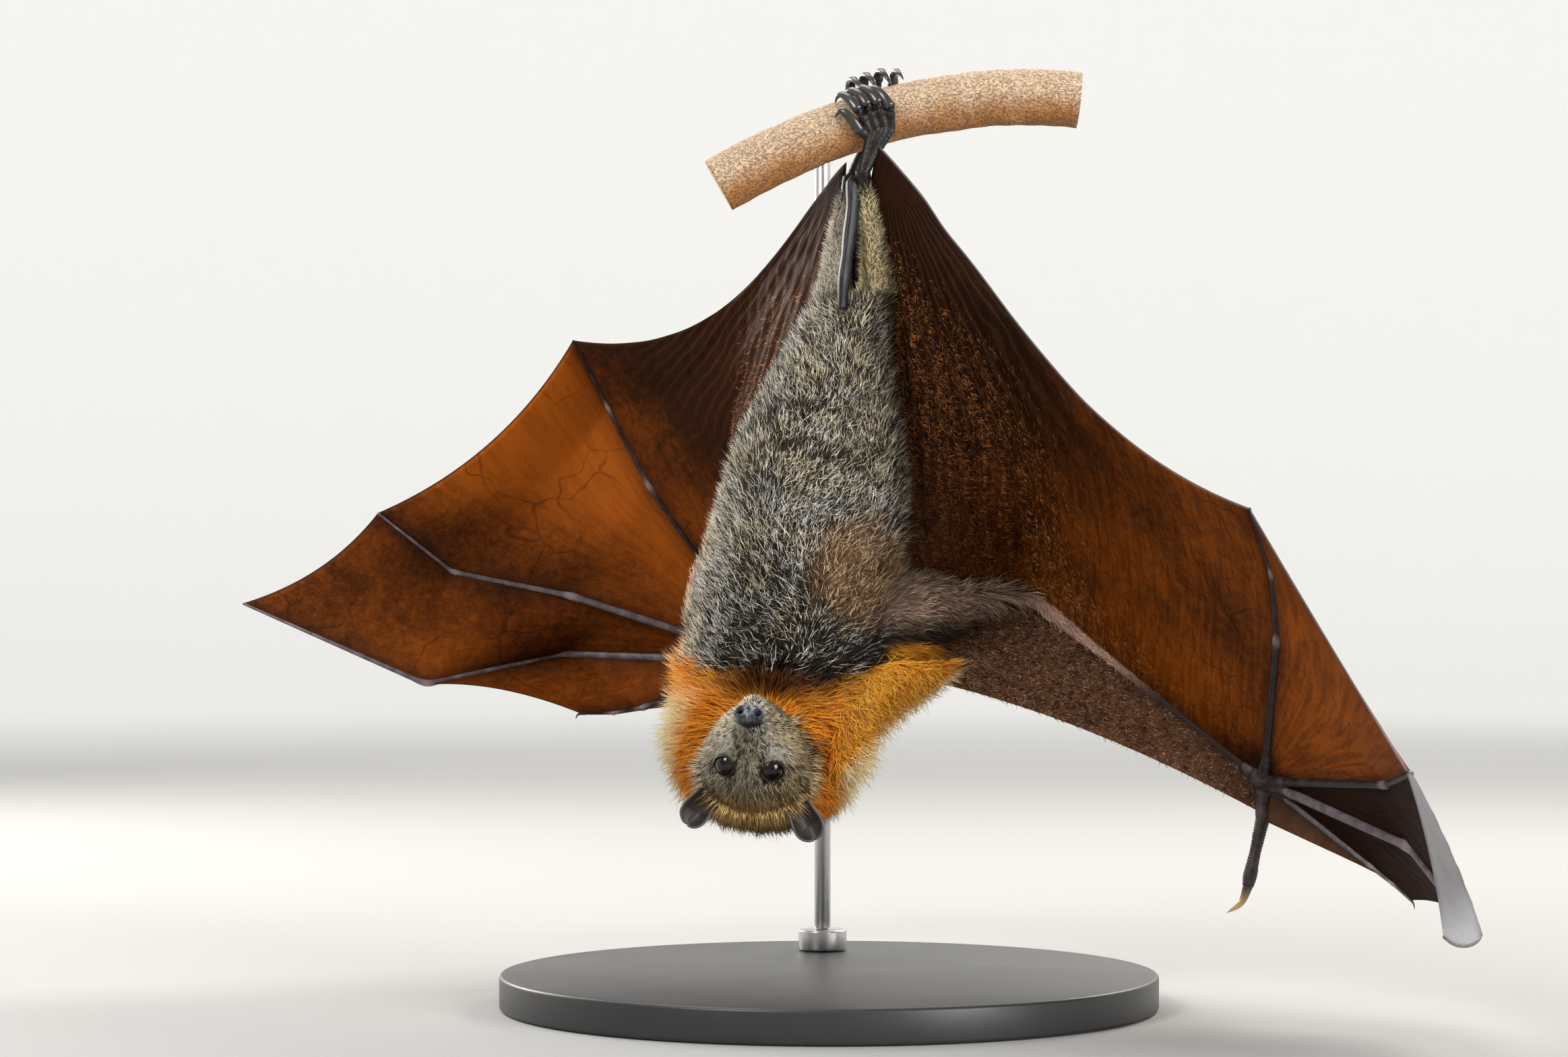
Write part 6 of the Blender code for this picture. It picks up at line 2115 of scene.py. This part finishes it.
def build_stage():
    """A pale floor that sweeps up all round, soft lights, and the camera."""
    scene = bpy.context.scene
    sides, level = 24, -0.0004
    turns = [2 * math.pi * k / sides for k in range(sides)]
    points, faces = [(0.0, 0.0, level)], []
    rows = ((1.2, level), (2.8, level), (4.2, level), (4.7, 0.05), (5.1, 0.30), (5.4, 0.8), (5.5, 1.6), (5.5, 4.0))
    for reach, z in rows:
        points += [(reach * math.cos(turn), reach * math.sin(turn), z) for turn in turns]
    for k in range(sides):
        after = (k + 1) % sides
        faces.append((0, 1 + k, 1 + after))
        for low in range(1, 1 + (len(rows) - 1) * sides, sides):
            high = low + sides
            faces.append((low + k, high + k, high + after, low + after))
    floor = smooth_mesh("floor", points, faces)
    apply_step(floor, "SUBSURF", levels=3, render_levels=3)
    made, sig, give = new_material("pale_floor")
    place = sig.place()
    reach = place.part("X").reach(place.part("Y"))
    # Painted shade: the floor is darker near the middle, where the lamps fall brightest, which evens out its light.
    # It is also darker in front of the stand.
    pale = sig.mixed((0.37, 0.372, 0.37), (0.82, 0.82, 0.81), reach.between(1.6, 3.6))
    give(Base_Color=sig.mixed(pale, (0.15, 0.15, 0.15), place.part("Y").between(-0.5, -1.4)), Roughness=0.85)
    # Painted glow: the far walls glow faintly, to light the backdrop evenly.
    glow = sig.mixed((0.0, 0.0, 0.0), (0.24, 0.24, 0.235), reach.between(1.2, 3.4))
    give(Emission_Color=glow, Emission_Strength=1.0)
    floor.data.materials.append(made)
    for name, place, aim, size, power, colour in (
        ("key_light", (-1.5, -1.9, 1.9), (0.0, 0.0, 0.24), 1.0, 50, (1.0, 0.97, 0.93)),
        ("fill_light", (2.85, -2.55, 1.20), (0.0, 0.0, 0.22), 1.95, 153, (1.0, 0.98, 0.95)),
        ("rim_light", (0.9, 1.2, 1.3), (0.0, 0.0, 0.24), 0.8, 28, (1.0, 0.95, 0.86)),
        ("back_light", (-1.1, 1.2, 0.8), (0.0, 0.0, 0.2), 0.8, 20, (1.0, 0.95, 0.86)),
        ("top_light", (-0.5, 0.6, 1.9), (0.0, 0.0, 0.2), 1.2, 18, (1.0, 1.0, 1.0)),
    ):
        light = bpy.data.lights.new(name, "AREA")
        light.size, light.energy, light.color = size, power, colour
        lamp = new_object(name, light)
        lamp.location = place
        lamp.rotation_euler = (Vector(aim) - Vector(place)).to_track_quat("-Z", "Y").to_euler()
    world = bpy.data.worlds.new("soft_sky")
    world.use_nodes = True
    sky = world.node_tree.nodes["Background"].inputs
    sky["Color"].default_value = (1.0, 0.99, 0.97, 1.0)
    sky["Strength"].default_value = 0.36
    scene.world = world
    scene.view_settings.view_transform = "Standard"
    camera = bpy.data.cameras.new("camera")
    camera.sensor_width = 36.0
    camera.lens = 97.46
    seat = new_object("camera", camera)
    seat.location = (-0.0211, -2.0, 0.225)
    seat.rotation_euler = (math.pi / 2, 0, 0)
    scene.camera = seat


# Add-on


def length_size(name, description, default, least):
    return bpy.props.FloatProperty(
        name=name, description=description, default=default, min=least, unit="LENGTH"
    )


def colour_size(name, description, default):
    return bpy.props.FloatVectorProperty(
        name=name, description=description, default=default, subtype="COLOR"
    )


class FlyingFoxSizes(bpy.types.PropertyGroup):
    """Sizes and colours of the model"""

    coat_length: length_size("Coat length", "Length of the body's hair", COAT_LENGTH, 0.004)
    mantle_length: length_size("Mantle length", "Length of the ruff's hair", MANTLE_LENGTH, 0.004)
    face_length: length_size("Face length", "Length of the hair on the crown", FACE_LENGTH, 0.001)
    coat_density: bpy.props.FloatProperty(
        name="Coat density", description="Share of the full number of hairs", default=1.0, min=0.05, max=1.0
    )
    membrane_thickness: length_size("Wing skin thickness", "Thickness of the wing skin", 0.0006, 0.0001)
    coat_grey: colour_size("Coat grey", "Darker hair tips of the body", (0.034, 0.027, 0.018))
    coat_cream: colour_size("Coat cream", "Pale hair tips of the body", (0.98, 0.87, 0.64))
    mantle_orange: colour_size("Mantle orange", "Deep orange of the ruff", (1.0, 0.27, 0.012))
    mantle_gold: colour_size("Mantle gold", "Lighter orange of the ruff", (1.0, 0.58, 0.060))
    mantle_straw: colour_size("Mantle straw", "Pale tips of the ruff", (1.0, 0.90, 0.56))
    membrane_dark: colour_size("Wing dark", "Darkest wing skin", (0.020, 0.006, 0.0018))
    membrane_light: colour_size("Wing light", "Lightest wing skin", (0.46, 0.110, 0.009))


def grown_skin():
    skin = bpy.data.objects.get("skin")
    if skin is None:
        raise RuntimeError("grow the skin first")
    return skin


class FLYINGFOX_OT_skin(bpy.types.Operator):
    """Lay one skin over the flesh"""

    bl_idname = "flyingfox.skin"
    bl_label = "Skin"

    def execute(self, context):
        build_skin()
        return {"FINISHED"}


class FLYINGFOX_OT_face(bpy.types.Operator):
    """Set in the eyes, the lids, the nose and the ears"""

    bl_idname = "flyingfox.face"
    bl_label = "Eyes, Nose and Ears"

    def execute(self, context):
        build_eyes()
        build_nose()
        build_ears()
        return {"FINISHED"}


class FLYINGFOX_OT_wings(bpy.types.Operator):
    """Stretch the wing membranes"""

    bl_idname = "flyingfox.wings"
    bl_label = "Wing Membranes"

    def execute(self, context):
        build_wings()
        build_thumb_webs()
        return {"FINISHED"}


class FLYINGFOX_OT_hands(bpy.types.Operator):
    """Make the fingers, wrists and thumbs"""

    bl_idname = "flyingfox.hands"
    bl_label = "Fingers and Thumbs"

    def execute(self, context):
        build_fingers()
        build_hands()
        return {"FINISHED"}


class FLYINGFOX_OT_feet(bpy.types.Operator):
    """Make the feet and the fold between the legs"""

    bl_idname = "flyingfox.feet"
    bl_label = "Feet"

    def execute(self, context):
        build_feet()
        build_tail_fold()
        return {"FINISHED"}


class FLYINGFOX_OT_claws(bpy.types.Operator):
    """Set the claws on thumbs, fingers and toes"""

    bl_idname = "flyingfox.claws"
    bl_label = "Claws"

    def execute(self, context):
        build_claws()
        return {"FINISHED"}


class FLYINGFOX_OT_body_coat(bpy.types.Operator):
    """Grow the grey coat of body, legs and arms"""

    bl_idname = "flyingfox.body_coat"
    bl_label = "Body Coat"

    def execute(self, context):
        build_body_coat(grown_skin())
        build_arm_coat(grown_skin())
        build_wing_down()
        return {"FINISHED"}


class FLYINGFOX_OT_mantle(bpy.types.Operator):
    """Grow the orange mantle"""

    bl_idname = "flyingfox.mantle"
    bl_label = "Mantle"

    def execute(self, context):
        build_mantle(grown_skin())
        return {"FINISHED"}


class FLYINGFOX_OT_head_coat(bpy.types.Operator):
    """Grow the short fur of the head"""

    bl_idname = "flyingfox.head_coat"
    bl_label = "Head Fur"

    def execute(self, context):
        build_head_coat(grown_skin())
        return {"FINISHED"}


class FLYINGFOX_OT_perch(bpy.types.Operator):
    """Make the cut length of branch"""

    bl_idname = "flyingfox.perch"
    bl_label = "Perch"

    def execute(self, context):
        build_perch()
        return {"FINISHED"}


class FLYINGFOX_OT_stand(bpy.types.Operator):
    """Make the display stand"""

    bl_idname = "flyingfox.stand"
    bl_label = "Stand"

    def execute(self, context):
        build_stand()
        return {"FINISHED"}


class FLYINGFOX_OT_stage(bpy.types.Operator):
    """Set up the floor, the lights and the camera"""

    bl_idname = "flyingfox.stage"
    bl_label = "Stage"

    def execute(self, context):
        build_stage()
        return {"FINISHED"}


OPERATORS = (
    FLYINGFOX_OT_stage,
    FLYINGFOX_OT_skin,
    FLYINGFOX_OT_face,
    FLYINGFOX_OT_wings,
    FLYINGFOX_OT_hands,
    FLYINGFOX_OT_feet,
    FLYINGFOX_OT_claws,
    FLYINGFOX_OT_body_coat,
    FLYINGFOX_OT_mantle,
    FLYINGFOX_OT_head_coat,
    FLYINGFOX_OT_perch,
    FLYINGFOX_OT_stand,
)


class FLYINGFOX_PT_panel(bpy.types.Panel):
    """Sizes, colours and steps of the model"""

    bl_idname = "FLYINGFOX_PT_panel"
    bl_label = "Flying Fox"
    bl_space_type = "VIEW_3D"
    bl_region_type = "UI"
    bl_category = "Flying Fox"

    def draw(self, context):
        sizes = context.scene.flying_fox
        for name in sizes.__annotations__:
            self.layout.prop(sizes, name)
        for operator in OPERATORS:
            self.layout.operator(operator.bl_idname)


CLASSES = (FlyingFoxSizes, *OPERATORS, FLYINGFOX_PT_panel)


def register():
    for one in CLASSES:
        bpy.utils.register_class(one)
    bpy.types.Scene.flying_fox = bpy.props.PointerProperty(type=FlyingFoxSizes)


def unregister():
    del bpy.types.Scene.flying_fox
    for one in reversed(CLASSES):
        bpy.utils.unregister_class(one)


def main():
    register()
    for operator in OPERATORS:
        group, name = operator.bl_idname.split(".")
        getattr(getattr(bpy.ops, group), name)()


if __name__ == "__main__":
    main()
